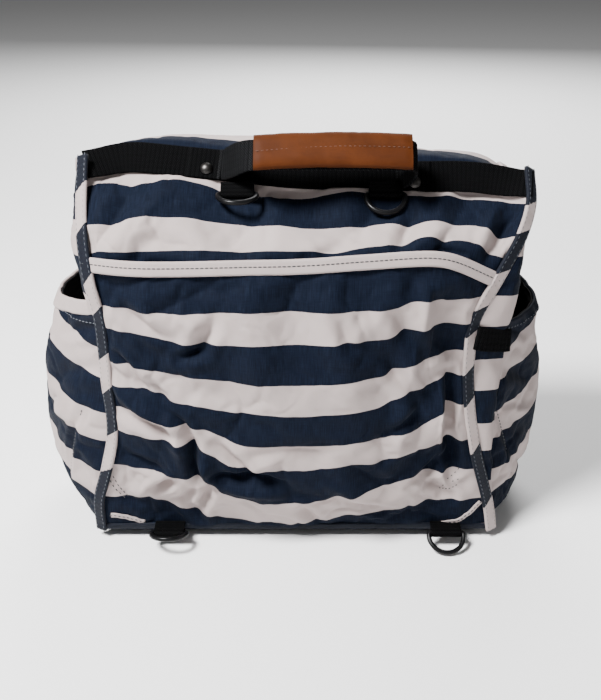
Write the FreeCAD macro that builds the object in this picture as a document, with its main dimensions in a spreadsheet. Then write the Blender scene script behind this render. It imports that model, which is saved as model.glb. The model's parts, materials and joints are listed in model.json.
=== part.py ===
import FreeCAD, Part
import Sketcher
import math
import os

# Striped changing bag, standing upright on its base.  Millimetres.
# Origin: centre of the flat base face.  +Z up, -Y the back with the top handle, +X right.

doc = FreeCAD.newDocument("diaper_bag")

# ---------------------------------------------------------------- driving dimensions

SIZES = [
    # body
    ("half_width", 165.0),
    ("half_depth", 78.0),
    ("seam_height", 20.0),
    ("base_half_width", 150.0),
    ("base_half_depth", 60.0),
    ("panel_thickness", 2.4),
    ("lining_thickness", 0.8),
    ("board_half_width", 145.0),
    ("board_half_depth", 56.0),
    # side profile of the back panel
    ("back_bend_height", 248.0),
    ("band_low_y", 34.0),
    ("band_low_height", 292.4),
    ("top_y", 18.0),
    ("top_height", 311.4),
    # side profile of the front panel
    ("front_bend_height", 200.0),
    ("front_mid_y", 62.0),
    ("front_mid_height", 252.0),
    ("front_top_y", 40.0),
    ("front_top_height", 282.0),
    # seam bindings
    ("binding_width", 9.0),
    ("binding_thickness", 3.0),
    ("bottom_binding_low", 22.6),
    ("bottom_binding_high", 29.4),
    ("bottom_binding_thickness", 2.4),
    # slip pocket on the back
    ("pocket_wall", 1.8),
    ("slip_foot_height", 30.0),
    ("slip_curve_y", 86.0),
    ("slip_curve_height", 42.0),
    ("slip_belly_y", 94.0),
    ("slip_belly_low", 68.0),
    ("slip_belly_high", 180.0),
    ("slip_mouth_y", 90.0),
    ("slip_mouth_height", 252.0),
    # side pockets
    ("side_pocket_foot", 24.0),
    ("side_pocket_mouth", 198.0),
    ("side_pocket_belly_low", 70.0),
    ("side_pocket_belly_high", 130.0),
    ("side_pocket_foot_reach", 22.0),
    ("side_pocket_mouth_reach", 33.0),
    ("side_pocket_left_reach", 49.0),
    ("side_pocket_right_reach", 38.0),
    ("side_pocket_half_depth", 64.0),
    ("side_pocket_near_edge", 52.0),
    ("side_pocket_flat_half_depth", 30.0),
    ("pocket_strap_low", 158.0),
    ("pocket_strap_high", 178.0),
    ("pocket_strap_end", 65.0),
    # webbing band and top handle
    ("webbing_thickness", 1.6),
    ("rivet_radius", 4.75),
    ("rivet_dome", 2.4),
    ("rivet_left_x", -71.5),
    ("rivet_right_x", 86.5),
    ("rivet_left_shift", 4.0),
    ("rivet_right_shift", -7.5),
    ("handle_end_margin", 13.0),
    ("pivot_lift", 5.4),
    ("handle_rest_angle", 40.0),
    ("handle_reach", 36.0),
    ("handle_strip", 3.0),
    ("handle_width", 23.4),
    ("left_foot_x", -61.0),
    ("left_bend_x", -42.0),
    ("right_foot_x", 80.0),
    ("right_bend_x", 88.5),
    ("wrap_start", -34.0),
    ("wrap_length", 115.0),
    ("wrap_half_height", 13.4),
    ("wrap_inner", 29.3),
    ("wrap_outer", 37.7),
    ("wrap_leather", 1.5),
    ("wrap_corner", 3.0),
    # D-rings and their webbing tabs
    ("wire_radius", 2.0),
    ("ring_half_width", 14.5),
    ("ring_corner", 2.5),
    ("ring_bow_centre", 3.0),
    ("bar_fit", 0.05),
    ("eye_radius", 3.4),
    ("tab_width", 23.4),
    ("tab_thickness", 2.6),
    ("upper_left_ring_x", -47.5),
    ("upper_right_ring_x", 64.0),
    ("upper_bar_y", 41.0),
    ("upper_bar_height", 291.4),
    ("upper_bar_lift", 4.2),
    ("upper_tab_reach", 3.6),
    ("upper_tab_slope", 45.0),
    ("lower_left_ring_x", -110.0),
    ("lower_right_ring_x", 122.0),
    ("lower_bar_y", 87.0),
    ("lower_bar_height", 13.0),
    ("side_bar_x", 172.0),
    ("side_bar_y", -10.0),
    ("side_bar_height", 284.0),
    ("lower_tab_low_reach", 5.4),
    ("lower_tab_high_reach", 3.0),
    ("upper_left_ring_angle", -5.0),
    ("upper_right_ring_angle", -35.0),
    ("lower_left_ring_angle", 18.0),
    ("lower_right_ring_angle", -33.0),
    ("side_ring_angle", -82.0),
    # flap
    ("flap_half_width", 163.0),
    ("flap_fabric", 2.0),
    ("flap_lining_thickness", 1.0),
    ("flap_edge", 3.0),
    ("flap_edge_overlap", 1.0),
    ("flap_start_y", 17.0),
    ("flap_start_height", 315.2),
    ("flap_rise_y", 8.0),
    ("flap_crown_y", 6.0),
    ("flap_crown_height", 322.0),
    ("flap_fall_y", 28.0),
    ("flap_fall_height", 312.0),
    ("flap_slope_y", 52.0),
    ("flap_slope_height", 292.0),
    ("flap_shoulder_y", 76.0),
    ("flap_shoulder_height", 262.0),
    ("flap_front_y", 86.0),
    ("flap_front_height", 228.0),
    ("flap_hem_height", 130.0),
    # magnetic snaps
    ("snap_x", 85.0),
    ("snap_height", 168.0),
    ("snap_female_radius", 9.0),
    ("snap_male_radius", 8.0),
    ("snap_female_depth", 2.2),
    ("snap_gap", 0.3),
]
VALUE = dict(SIZES)

dims = doc.addObject("Spreadsheet::Sheet", "dims")
for row, (alias, size) in enumerate(SIZES, start=1):
    dims.set("A%d" % row, alias.replace("_", " "))
    dims.set("B%d" % row, str(size))
    dims.setAlias("B%d" % row, alias)
doc.recompute()

NODES = []


def measure(text):
    """Read a sum of aliases and plain numbers; return its value and its expression."""
    value = 0.0
    expression = ""
    sign = 1.0
    for token in text.split():
        if token in "+-":
            sign = -1.0 if token == "-" else 1.0
            expression += " %s " % token
        elif token in VALUE:
            value += sign * VALUE[token]
            expression += "dims.%s" % token
        else:
            value += sign * float(token)
            expression += token
    return value, expression


def negate(text):
    """The same sum with every sign turned round."""
    turned = text.replace("- ", "~ ").replace("+ ", "- ").replace("~ ", "+ ")
    return turned[2:] if turned.startswith("+ ") else "- " + turned


def name_node(thing, label):
    """Give a finished sub-part its name and keep it for the export."""
    thing.Label = label
    NODES.append(thing)
    return thing


def bind(thing, attribute, text):
    """Drive one property of an object from the spreadsheet."""
    thing.setExpression(attribute, measure(text)[1])


# ---------------------------------------------------------------- sketches

PROFILE_PLANE = FreeCAD.Placement(FreeCAD.Vector(0, 0, 0), FreeCAD.Rotation(FreeCAD.Vector(1, 1, 1), 120))
FACE_PLANE = FreeCAD.Placement(FreeCAD.Vector(0, 0, 0), FreeCAD.Rotation(FreeCAD.Vector(1, 0, 0), 90))
PLAN_PLANE = FreeCAD.Placement()


def pin_point(sketch, edge, end, point):
    """Fix one end of a sketch edge at a driven distance from the origin."""
    for direction, text in zip(("DistanceX", "DistanceY"), point):
        value, expression = measure(text)
        if abs(value) < 1e-9:
            along = "PointOnObject"
            axis = -2 if direction == "DistanceX" else -1
            sketch.addConstraint(Sketcher.Constraint(along, edge, end, axis))
        else:
            index = sketch.addConstraint(Sketcher.Constraint(direction, -1, 1, edge, end, value))
            sketch.setExpression("Constraints[%d]" % index, expression)


def draw_line(sketch, points, closed):
    """Draw a polyline whose corners are all driven from the spreadsheet."""
    corners = [FreeCAD.Vector(measure(across)[0], measure(up)[0], 0) for across, up in points]
    count = len(corners) if closed else len(corners) - 1
    first = sketch.GeometryCount
    for index in range(count):
        start = corners[index]
        finish = corners[(index + 1) % len(corners)]
        sketch.addGeometry(Part.LineSegment(start, finish))
    for index in range(count - 1):
        sketch.addConstraint(Sketcher.Constraint("Coincident", first + index, 2, first + index + 1, 1))
    if closed:
        sketch.addConstraint(Sketcher.Constraint("Coincident", first + count - 1, 2, first, 1))
    for index in range(count):
        pin_point(sketch, first + index, 1, points[index])
    if not closed:
        pin_point(sketch, first + count - 1, 2, points[-1])


def draw_circle(sketch, centre, radius):
    """Draw a circle with a driven centre and radius."""
    across, up = measure(centre[0])[0], measure(centre[1])[0]
    size, expression = measure(radius)
    circle = sketch.GeometryCount
    sketch.addGeometry(Part.Circle(FreeCAD.Vector(across, up, 0), FreeCAD.Vector(0, 0, 1), size))
    index = sketch.addConstraint(Sketcher.Constraint("Radius", circle, size))
    sketch.setExpression("Constraints[%d]" % index, expression)
    if abs(across) < 1e-9 and abs(up) < 1e-9:
        sketch.addConstraint(Sketcher.Constraint("Coincident", circle, 3, -1, 1))
    else:
        pin_point(sketch, circle, 3, centre)


def free_sketch(name, plane, points, closed=True):
    """A sketch outside any body, for extrusions and booleans."""
    sketch = doc.addObject("Sketcher::SketchObject", name)
    sketch.Placement = plane
    draw_line(sketch, points, closed)
    return sketch


def body_sketch(body, name, role):
    """An empty sketch on one of a body's own origin planes."""
    sketch = body.newObject("Sketcher::SketchObject", name)
    plane = [item for item in body.Origin.OriginFeatures if item.Role == role][0]
    sketch.AttachmentSupport = [(plane, "")]
    sketch.MapMode = "FlatFace"
    return sketch


# ---------------------------------------------------------------- solids

def thicken(name, line, thickness, outward=False):
    """Fill the strip between an open profile line and its parallel."""
    strip = doc.addObject("Part::Offset2D", name)
    strip.Source = line
    strip.Fill = True
    strip.Join = 2
    strip.Mode = 0
    value, expression = measure(thickness)
    strip.Value = -value if outward else value
    strip.setExpression("Value", ("-(%s)" if outward else "(%s)") % expression)
    return strip


def cut(name, base, tool):
    """Boolean difference of two objects."""
    result = doc.addObject("Part::Cut", name)
    result.Base = base
    result.Tool = tool
    return result


def common(name, first, second):
    """Boolean intersection of two objects."""
    result = doc.addObject("Part::Common", name)
    result.Base = first
    result.Tool = second
    return result


def fuse(name, shapes):
    """Boolean union of several objects."""
    result = doc.addObject("Part::MultiFuse", name)
    result.Shapes = shapes
    return result


def box(name, low, high):
    """A box between two driven corners."""
    solid = doc.addObject("Part::Box", name)
    for axis, side, start, finish in zip("xyz", ("Length", "Width", "Height"), low, high):
        first, last = measure(start)[1], measure(finish)[1]
        solid.setExpression(side, "(%s) - (%s)" % (last, first))
        solid.setExpression("Placement.Base.%s" % axis, first)
    return solid


# ---------------------------------------------------------------- profiles shared by several parts

BACK_LINE = [
    ("- half_depth", "seam_height"),
    ("- half_depth", "back_bend_height"),
    ("- band_low_y", "band_low_height"),
    ("- top_y", "top_height"),
]
FRONT_LINE = [
    ("half_depth", "seam_height"),
    ("half_depth", "front_bend_height"),
    ("front_mid_y", "front_mid_height"),
    ("front_top_y", "front_top_height"),
]
FLAP_LINE = [
    ("- flap_start_y", "flap_start_height"),
    ("- flap_rise_y", "flap_crown_height"),
    ("flap_crown_y", "flap_crown_height"),
    ("flap_fall_y", "flap_fall_height"),
    ("flap_slope_y", "flap_slope_height"),
    ("flap_shoulder_y", "flap_shoulder_height"),
    ("flap_front_y", "flap_front_height"),
    ("flap_front_y", "flap_hem_height"),
]

back_line = free_sketch("back_line", PROFILE_PLANE, BACK_LINE, closed=False)
front_line = free_sketch("front_line", PROFILE_PLANE, FRONT_LINE, closed=False)
flap_line = free_sketch("flap_line", PROFILE_PLANE, FLAP_LINE, closed=False)
side_outline = free_sketch("side_outline", PROFILE_PLANE, BACK_LINE + FRONT_LINE[::-1])


# Whether each profile line is thickened away from its drawn direction, to fall inside the bag.
BACK_OUTWARD = False
FRONT_OUTWARD = True
FLAP_OUTWARD = False


def slice_of(name, outline, start, finish):
    """Sweep a side outline across the bag, between two driven distances."""
    solid = doc.addObject("Part::Extrusion", name)
    solid.Base = outline
    solid.DirMode = "Custom"
    solid.Dir = FreeCAD.Vector(1, 0, 0)
    solid.Solid = True
    bind(solid, "LengthFwd", finish)
    bind(solid, "LengthRev", negate(start))
    return solid


def layer(name, line, thickness, start, finish, outward=False):
    """A sheet that follows a profile line, between two distances across the bag."""
    return slice_of(name, thicken(name + "_strip", line, thickness, outward), start, finish)


# ---------------------------------------------------------------- base

def tapered_block(name, low, high, bottom, top):
    """A block whose plan grows from a bottom to a top half size."""
    block = doc.addObject("Part::Wedge", name)
    bind(block, "Ymin", low)
    bind(block, "Ymax", high)
    for letter, index in (("X", 0), ("Z", 1)):
        block.setExpression(letter + "min", "-(%s)" % measure(bottom[index])[1])
        block.setExpression(letter + "max", measure(bottom[index])[1])
        block.setExpression(letter + "2min", "-(%s)" % measure(top[index])[1])
        block.setExpression(letter + "2max", measure(top[index])[1])
    upright = FreeCAD.Rotation(FreeCAD.Vector(1, 0, 0), 90)
    block.Placement = FreeCAD.Placement(FreeCAD.Vector(0, 0, 0), upright)
    return block


def make_base():
    outer = tapered_block("base_outer", "0", "seam_height",
                          ("base_half_width", "base_half_depth"), ("half_width", "half_depth"))
    inner = tapered_block("base_inner", "panel_thickness", "seam_height",
                          ("base_half_width - panel_thickness", "base_half_depth - panel_thickness"),
                          ("half_width - panel_thickness", "half_depth - panel_thickness"))
    name_node(cut("base_tray", outer, inner), "base_panel")
    board_top = "panel_thickness + panel_thickness"
    board = box("stiff_board", ("- board_half_width", "- board_half_depth", "panel_thickness"),
                ("board_half_width", "board_half_depth", board_top))
    name_node(board, "base_board")
    cloth = box("base_cloth", ("- board_half_width", "- board_half_depth", board_top),
                ("board_half_width", "board_half_depth", board_top + " + lining_thickness"))
    name_node(cloth, "lining_base")


# ---------------------------------------------------------------- body panels

def make_panels():
    back = layer("back", back_line, "panel_thickness", "- half_width", "half_width", BACK_OUTWARD)
    front = layer("front", front_line, "panel_thickness", "- half_width", "half_width", FRONT_OUTWARD)
    name_node(back, "back_panel")
    name_node(front, "front_panel")
    both = "panel_thickness + lining_thickness"
    inner_edge = "half_width - panel_thickness"
    back_full = layer("back_cloth_full", back_line, both, negate(inner_edge), inner_edge, BACK_OUTWARD)
    front_full = layer("front_cloth_full", front_line, both, negate(inner_edge), inner_edge, FRONT_OUTWARD)
    back_lining = cut("back_cloth", back_full, back)
    front_lining = cut("front_cloth", front_full, front)
    name_node(back_lining, "lining_back")
    name_node(front_lining, "lining_front")
    sides = (
        ("left", "- half_width", "- half_width + panel_thickness",
         "- half_width + panel_thickness + lining_thickness"),
        ("right", "half_width", "half_width - panel_thickness",
         "half_width - panel_thickness - lining_thickness"),
    )
    for side, outer, inner, lined in sides:
        wall_low, wall_high = (outer, inner) if side == "left" else (inner, outer)
        wall = slice_of("wall_" + side, side_outline, wall_low, wall_high)
        wall = cut("wall_cut_back_" + side, wall, back)
        wall = cut("wall_cut_front_" + side, wall, front)
        name_node(wall, "gusset_" + side)
        cloth_low, cloth_high = (inner, lined) if side == "left" else (lined, inner)
        cloth = slice_of("cloth_" + side, side_outline, cloth_low, cloth_high)
        for index, tool in enumerate((back, front, back_lining, front_lining)):
            cloth = cut("cloth_cut_%s_%d" % (side, index), cloth, tool)
        name_node(cloth, "lining_" + side)


def make_bindings():
    sides = (
        ("left", "- half_width - binding_thickness", "- half_width"),
        ("right", "half_width", "half_width + binding_thickness"),
    )
    for side, start, finish in sides:
        back = layer("binding_back_" + side, back_line, "binding_width", start, finish, BACK_OUTWARD)
        front = layer("binding_front_" + side, front_line, "binding_width", start, finish, FRONT_OUTWARD)
        name_node(back, "seam_binding_back_" + side)
        name_node(front, "seam_binding_front_" + side)
    back = box("tape_back", ("- half_width", "- half_depth - bottom_binding_thickness", "bottom_binding_low"),
               ("half_width", "- half_depth", "bottom_binding_high"))
    front = box("tape_front", ("- half_width", "half_depth", "bottom_binding_low"),
                ("half_width", "half_depth + bottom_binding_thickness", "bottom_binding_high"))
    name_node(back, "bottom_binding_back")
    name_node(front, "bottom_binding_front")


# ---------------------------------------------------------------- pockets

def make_slip_pocket():
    body = doc.addObject("PartDesign::Body", "slip_pocket")
    outer = body_sketch(body, "slip_outer", "YZ_Plane")
    draw_line(outer, [
        ("- half_depth", "slip_foot_height"),
        ("- slip_curve_y", "slip_curve_height"),
        ("- slip_belly_y", "slip_belly_low"),
        ("- slip_belly_y", "slip_belly_high"),
        ("- slip_mouth_y", "slip_mouth_height"),
        ("- half_depth", "slip_mouth_height"),
    ], True)
    pad = body.newObject("PartDesign::Pad", "slip_pad")
    pad.Profile = outer
    pad.Midplane = True
    bind(pad, "Length", "half_width + half_width")
    inner = body_sketch(body, "slip_inner", "YZ_Plane")
    draw_line(inner, [
        ("- half_depth + 4", "slip_foot_height + pocket_wall"),
        ("- half_depth - 2", "slip_foot_height + pocket_wall + 2"),
        ("- slip_curve_y + pocket_wall", "slip_curve_height + pocket_wall"),
        ("- slip_belly_y + pocket_wall", "slip_belly_low"),
        ("- slip_belly_y + pocket_wall", "slip_belly_high"),
        ("- slip_mouth_y + pocket_wall", "slip_mouth_height + 4"),
        ("- half_depth + 4", "slip_mouth_height + 4"),
    ], True)
    hollow = body.newObject("PartDesign::Pocket", "slip_hollow")
    hollow.Profile = inner
    hollow.Midplane = True
    bind(hollow, "Length", "half_width + half_width - pocket_wall - pocket_wall")
    body.Tip = hollow
    return name_node(body, "back_slip_pocket")


def pouch_blank(name, sign, reach, near, inset, height):
    """The bulging block of a side pocket, pulled in by a driven inset."""
    def out(text):
        reached = "half_width + " + text
        return reached if sign > 0 else negate(reached)

    wall = "half_width" if sign > 0 else negate("half_width")
    face = free_sketch(name + "_face", FACE_PLANE, [
        (wall, "side_pocket_foot" + inset[0]),
        (out("side_pocket_foot_reach" + inset[1]), "side_pocket_foot" + inset[0]),
        (out(reach + inset[1]), "side_pocket_belly_low"),
        (out(reach + inset[1]), "side_pocket_belly_high"),
        (out("side_pocket_mouth_reach" + inset[1]), height),
        (wall, height),
    ])
    front_view = doc.addObject("Part::Extrusion", name + "_face_block")
    front_view.Base = face
    front_view.DirMode = "Custom"
    front_view.Dir = FreeCAD.Vector(0, 1, 0)
    front_view.Solid = True
    bind(front_view, "LengthFwd", "half_depth")
    bind(front_view, "LengthRev", "half_depth")
    plan = free_sketch(name + "_plan", PLAN_PLANE, [
        (wall, "- " + near + inset[2]),
        (out(reach), "- side_pocket_flat_half_depth" + inset[2]),
        (out(reach), "side_pocket_flat_half_depth" + inset[1]),
        (wall, "side_pocket_half_depth" + inset[1]),
    ])
    top_view = doc.addObject("Part::Extrusion", name + "_plan_block")
    top_view.Base = plan
    top_view.DirMode = "Custom"
    top_view.Dir = FreeCAD.Vector(0, 0, 1)
    top_view.Solid = True
    bind(top_view, "LengthFwd", "top_height")
    return common(name, front_view, top_view)


def make_side_pockets():
    sides = (
        ("left", -1, "side_pocket_left_reach", "side_pocket_half_depth"),
        ("right", 1, "side_pocket_right_reach", "side_pocket_near_edge"),
    )
    none = ("", "", "")
    wall = (" + pocket_wall", " - pocket_wall", " + pocket_wall")
    lined = (" + pocket_wall + lining_thickness", " - pocket_wall - lining_thickness",
             " + pocket_wall + lining_thickness")
    for side, sign, reach, near in sides:
        outer = pouch_blank("pouch_outer_" + side, sign, reach, near, none, "side_pocket_mouth")
        middle = pouch_blank("pouch_middle_" + side, sign, reach, near, wall, "side_pocket_mouth")
        inner = pouch_blank("pouch_inner_" + side, sign, reach, near, lined, "side_pocket_mouth")
        name_node(cut("pouch_" + side, outer, middle), "side_pocket_" + side)
        name_node(cut("pouch_cloth_" + side, middle, inner), "side_pocket_lining_" + side)
    strap = box("tether", ("half_width", "- pocket_strap_end", "pocket_strap_low"),
                ("half_width + webbing_thickness", "- side_pocket_near_edge - 0.3", "pocket_strap_high"))
    name_node(strap, "side_pocket_strap")


# ---------------------------------------------------------------- band, rivets and handle

def band_point(lift, shift=0.0):
    """Middle of the band's slope, lifted off the panel along its normal and shifted up the slope."""
    rise = VALUE["top_height"] - VALUE["band_low_height"]
    run = VALUE["band_low_y"] - VALUE["top_y"]
    slope = math.hypot(rise, run)
    middle_y = -(VALUE["band_low_y"] + VALUE["top_y"]) / 2.0
    middle_z = (VALUE["band_low_height"] + VALUE["top_height"]) / 2.0
    return (middle_y + (shift * run - lift * rise) / slope,
            middle_z + (shift * rise + lift * run) / slope)


def band_tilt():
    """Angle that turns +Z to the band's outward normal, about the X axis."""
    rise = VALUE["top_height"] - VALUE["band_low_height"]
    run = VALUE["band_low_y"] - VALUE["top_y"]
    return math.degrees(math.atan2(rise, run))


def band_layer(name, thickness, start, finish):
    """Webbing on the outside of the back panel, from the band's lower edge to the top edge."""
    sheet = layer(name + "_sheet", back_line, thickness, start, finish, not BACK_OUTWARD)
    window = box(name + "_window", ("- half_width", "- half_depth - 10", "band_low_height"),
                 ("half_width", "half_depth", "top_height + 20"))
    return common(name, sheet, window)


def make_band():
    band = band_layer("band", "webbing_thickness", "- half_width", "half_width")
    name_node(band, "webbing_band")
    doubled = "webbing_thickness + webbing_thickness"
    ends = (
        ("left", "rivet_left_x - handle_end_margin", "left_foot_x + 1"),
        ("right", "right_foot_x - 4", "rivet_right_x + handle_end_margin"),
    )
    for side, start, finish in ends:
        full = band_layer("handle_end_full_" + side, doubled, start, finish)
        name_node(cut("handle_end_cut_" + side, full, band), "handle_end_" + side)
    flange = 0.6
    dome = VALUE["rivet_dome"]
    radius = VALUE["rivet_radius"]
    ball = (radius * radius + dome * dome) / (2.0 * dome)
    for side in ("left", "right"):
        seat_y, seat_z = band_point(2.0 * VALUE["webbing_thickness"], VALUE["rivet_%s_shift" % side])
        seat = FreeCAD.Placement(FreeCAD.Vector(VALUE["rivet_%s_x" % side], seat_y, seat_z),
                                 FreeCAD.Rotation(FreeCAD.Vector(1, 0, 0), band_tilt()))
        disc = doc.addObject("Part::Cylinder", "rivet_disc_" + side)
        bind(disc, "Radius", "rivet_radius")
        disc.Height = flange
        disc.Placement = seat
        cap = doc.addObject("Part::Sphere", "rivet_cap_" + side)
        cap.Radius = ball
        cap.Angle1 = math.degrees(math.asin((ball - dome) / ball))
        cap.Angle2 = 90
        cap.Placement = seat.multiply(FreeCAD.Placement(FreeCAD.Vector(0, 0, flange - ball + dome),
                                                        FreeCAD.Rotation()))
        name_node(fuse("rivet_" + side, [disc, cap]), "rivet_" + side)


def handle_seat(shift):
    """Frame of the handle: X along the bag, Y out from the hinge line, turned to the rest angle."""
    pivot_y, pivot_z = band_point(VALUE["pivot_lift"])
    return FreeCAD.Placement(FreeCAD.Vector(shift, pivot_y, pivot_z),
                             FreeCAD.Rotation(FreeCAD.Vector(1, 0, 0), 180.0 - VALUE["handle_rest_angle"]))


def make_handle_webbing():
    body = doc.addObject("PartDesign::Body", "handle_strap")
    line = body_sketch(body, "strap_path", "XY_Plane")
    draw_line(line, [
        ("left_foot_x", "- 1.4"),
        ("left_bend_x", "handle_reach - 2"),
        ("left_bend_x + 6", "handle_reach"),
        ("right_bend_x - 4.5", "handle_reach"),
        ("right_bend_x", "handle_reach - 4"),
        ("right_foot_x", "- 1.4"),
        ("right_foot_x - handle_strip", "- 1.4"),
        ("right_bend_x - handle_strip", "handle_reach - 5"),
        ("right_bend_x - 6", "handle_reach - handle_strip"),
        ("left_bend_x + 8", "handle_reach - handle_strip"),
        ("left_bend_x + 3", "handle_reach - 4.5"),
        ("left_foot_x + 3.5", "- 1.4"),
    ], True)
    pad = body.newObject("PartDesign::Pad", "strap_pad")
    pad.Profile = line
    pad.Midplane = True
    bind(pad, "Length", "handle_width")
    taper = body_sketch(body, "strap_taper", "YZ_Plane")
    draw_line(taper, [("- 3", "0.6"), ("23", "12.2"), ("23", "20"), ("- 3", "20")], True)
    draw_line(taper, [("- 3", "- 0.6"), ("- 3", "- 20"), ("23", "- 20"), ("23", "- 12.2")], True)
    narrow = body.newObject("PartDesign::Pocket", "strap_narrow")
    narrow.Profile = taper
    narrow.Midplane = True
    bind(narrow, "Length", "half_width + half_width")
    body.Tip = narrow
    body.Placement = handle_seat(0.0)
    name_node(body, "handle_webbing")


def make_handle_wrap():
    body = doc.addObject("PartDesign::Body", "grip_wrap")
    outer = body_sketch(body, "wrap_outside", "YZ_Plane")
    draw_line(outer, [
        ("wrap_inner + wrap_corner", "- wrap_half_height"),
        ("wrap_outer - wrap_corner", "- wrap_half_height"),
        ("wrap_outer", "- wrap_half_height + wrap_corner"),
        ("wrap_outer", "wrap_half_height - wrap_corner"),
        ("wrap_outer - wrap_corner", "wrap_half_height"),
        ("wrap_inner + wrap_corner", "wrap_half_height"),
        ("wrap_inner", "wrap_half_height - wrap_corner"),
        ("wrap_inner", "- wrap_half_height + wrap_corner"),
    ], True)
    pad = body.newObject("PartDesign::Pad", "wrap_pad")
    pad.Profile = outer
    bind(pad, "Length", "wrap_length")
    inside = body_sketch(body, "wrap_inside", "YZ_Plane")
    draw_line(inside, [
        ("wrap_inner + wrap_leather", "- wrap_half_height + wrap_leather"),
        ("wrap_outer - wrap_leather", "- wrap_half_height + wrap_leather"),
        ("wrap_outer - wrap_leather", "wrap_half_height - wrap_leather"),
        ("wrap_inner + wrap_leather", "wrap_half_height - wrap_leather"),
    ], True)
    hollow = body.newObject("PartDesign::Pocket", "wrap_hollow")
    hollow.Profile = inside
    hollow.Midplane = True
    bind(hollow, "Length", "wrap_length + wrap_length + wrap_length")
    body.Tip = hollow
    body.Placement = handle_seat(VALUE["wrap_start"])
    name_node(body, "handle_wrap")
    foam = doc.addObject("Part::Box", "grip_foam")
    bind(foam, "Length", "wrap_length - 2")
    bind(foam, "Width", "handle_reach - handle_strip - wrap_inner - wrap_leather")
    bind(foam, "Height", "handle_width - 1")
    inner_face = VALUE["wrap_inner"] + VALUE["wrap_leather"]
    corner = FreeCAD.Vector(1.0, inner_face, (1.0 - VALUE["handle_width"]) / 2.0)
    foam.Placement = handle_seat(VALUE["wrap_start"]).multiply(FreeCAD.Placement(corner, FreeCAD.Rotation()))
    name_node(foam, "handle_padding")


# ---------------------------------------------------------------- D-rings and tabs

def make_tab(label, strip, seat):
    """A folded webbing tab: a flat strip and an eye that holds a ring's straight bar."""
    body = doc.addObject("PartDesign::Body", label + "_body")
    flat = body_sketch(body, label + "_flat", "YZ_Plane")
    draw_line(flat, strip, True)
    pad = body.newObject("PartDesign::Pad", label + "_pad")
    pad.Profile = flat
    pad.Midplane = True
    bind(pad, "Length", "tab_width")
    round_end = body_sketch(body, label + "_round", "YZ_Plane")
    draw_circle(round_end, ("0", "0"), "eye_radius")
    eye = body.newObject("PartDesign::Pad", label + "_eye")
    eye.Profile = round_end
    eye.Midplane = True
    bind(eye, "Length", "tab_width")
    hole = body_sketch(body, label + "_hole", "YZ_Plane")
    draw_circle(hole, ("0", "0"), "wire_radius + bar_fit")
    bore = body.newObject("PartDesign::Pocket", label + "_bore")
    bore.Profile = hole
    bore.Midplane = True
    bind(bore, "Length", "tab_width + tab_width")
    body.Tip = bore
    body.Placement = seat
    return name_node(body, label)


def draw_ring_path(sketch):
    """The D: half the bar, a corner, the bow, the other corner and the other half bar."""
    half = VALUE["ring_half_width"]
    corner = VALUE["ring_corner"]
    bow = VALUE["ring_bow_centre"]
    up = FreeCAD.Vector(0, 0, 1)
    quarter = math.pi / 2.0
    straight = half - corner
    right = Part.Circle(FreeCAD.Vector(straight, corner, 0), up, corner)
    left = Part.Circle(FreeCAD.Vector(-straight, corner, 0), up, corner)
    arch = Part.Circle(FreeCAD.Vector(0, bow, 0), up, half)
    sketch.addGeometry(Part.LineSegment(FreeCAD.Vector(0, 0, 0), FreeCAD.Vector(straight, 0, 0)))
    sketch.addGeometry(Part.ArcOfCircle(right, -quarter, 0))
    sketch.addGeometry(Part.LineSegment(FreeCAD.Vector(half, corner, 0), FreeCAD.Vector(half, bow, 0)))
    sketch.addGeometry(Part.ArcOfCircle(arch, 0, 2.0 * quarter))
    sketch.addGeometry(Part.LineSegment(FreeCAD.Vector(-half, bow, 0), FreeCAD.Vector(-half, corner, 0)))
    sketch.addGeometry(Part.ArcOfCircle(left, 2.0 * quarter, 3.0 * quarter))
    sketch.addGeometry(Part.LineSegment(FreeCAD.Vector(-straight, 0, 0), FreeCAD.Vector(0, 0, 0)))


def make_ring(label, seat):
    """A D-shaped wire ring with its bar on the X axis and its bow towards +Y."""
    body = doc.addObject("PartDesign::Body", label + "_body")
    path = body_sketch(body, label + "_path", "XY_Plane")
    draw_ring_path(path)
    section = body_sketch(body, label + "_section", "YZ_Plane")
    draw_circle(section, ("0", "0"), "wire_radius")
    doc.recompute()
    wire = body.newObject("PartDesign::AdditivePipe", label + "_wire")
    wire.Profile = section
    wire.Spine = (path, ["Edge%d" % number for number in range(1, 8)])
    body.Tip = wire
    body.Placement = seat
    return name_node(body, label)


def ring_seat(point, turn, angle):
    """Place a ring or tab: turned about Z to face outwards, bow raised by an angle above level."""
    about_z = FreeCAD.Rotation(FreeCAD.Vector(0, 0, 1), turn)
    about_x = FreeCAD.Rotation(FreeCAD.Vector(1, 0, 0), angle)
    return FreeCAD.Placement(FreeCAD.Vector(*point), about_z.multiply(about_x))


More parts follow.
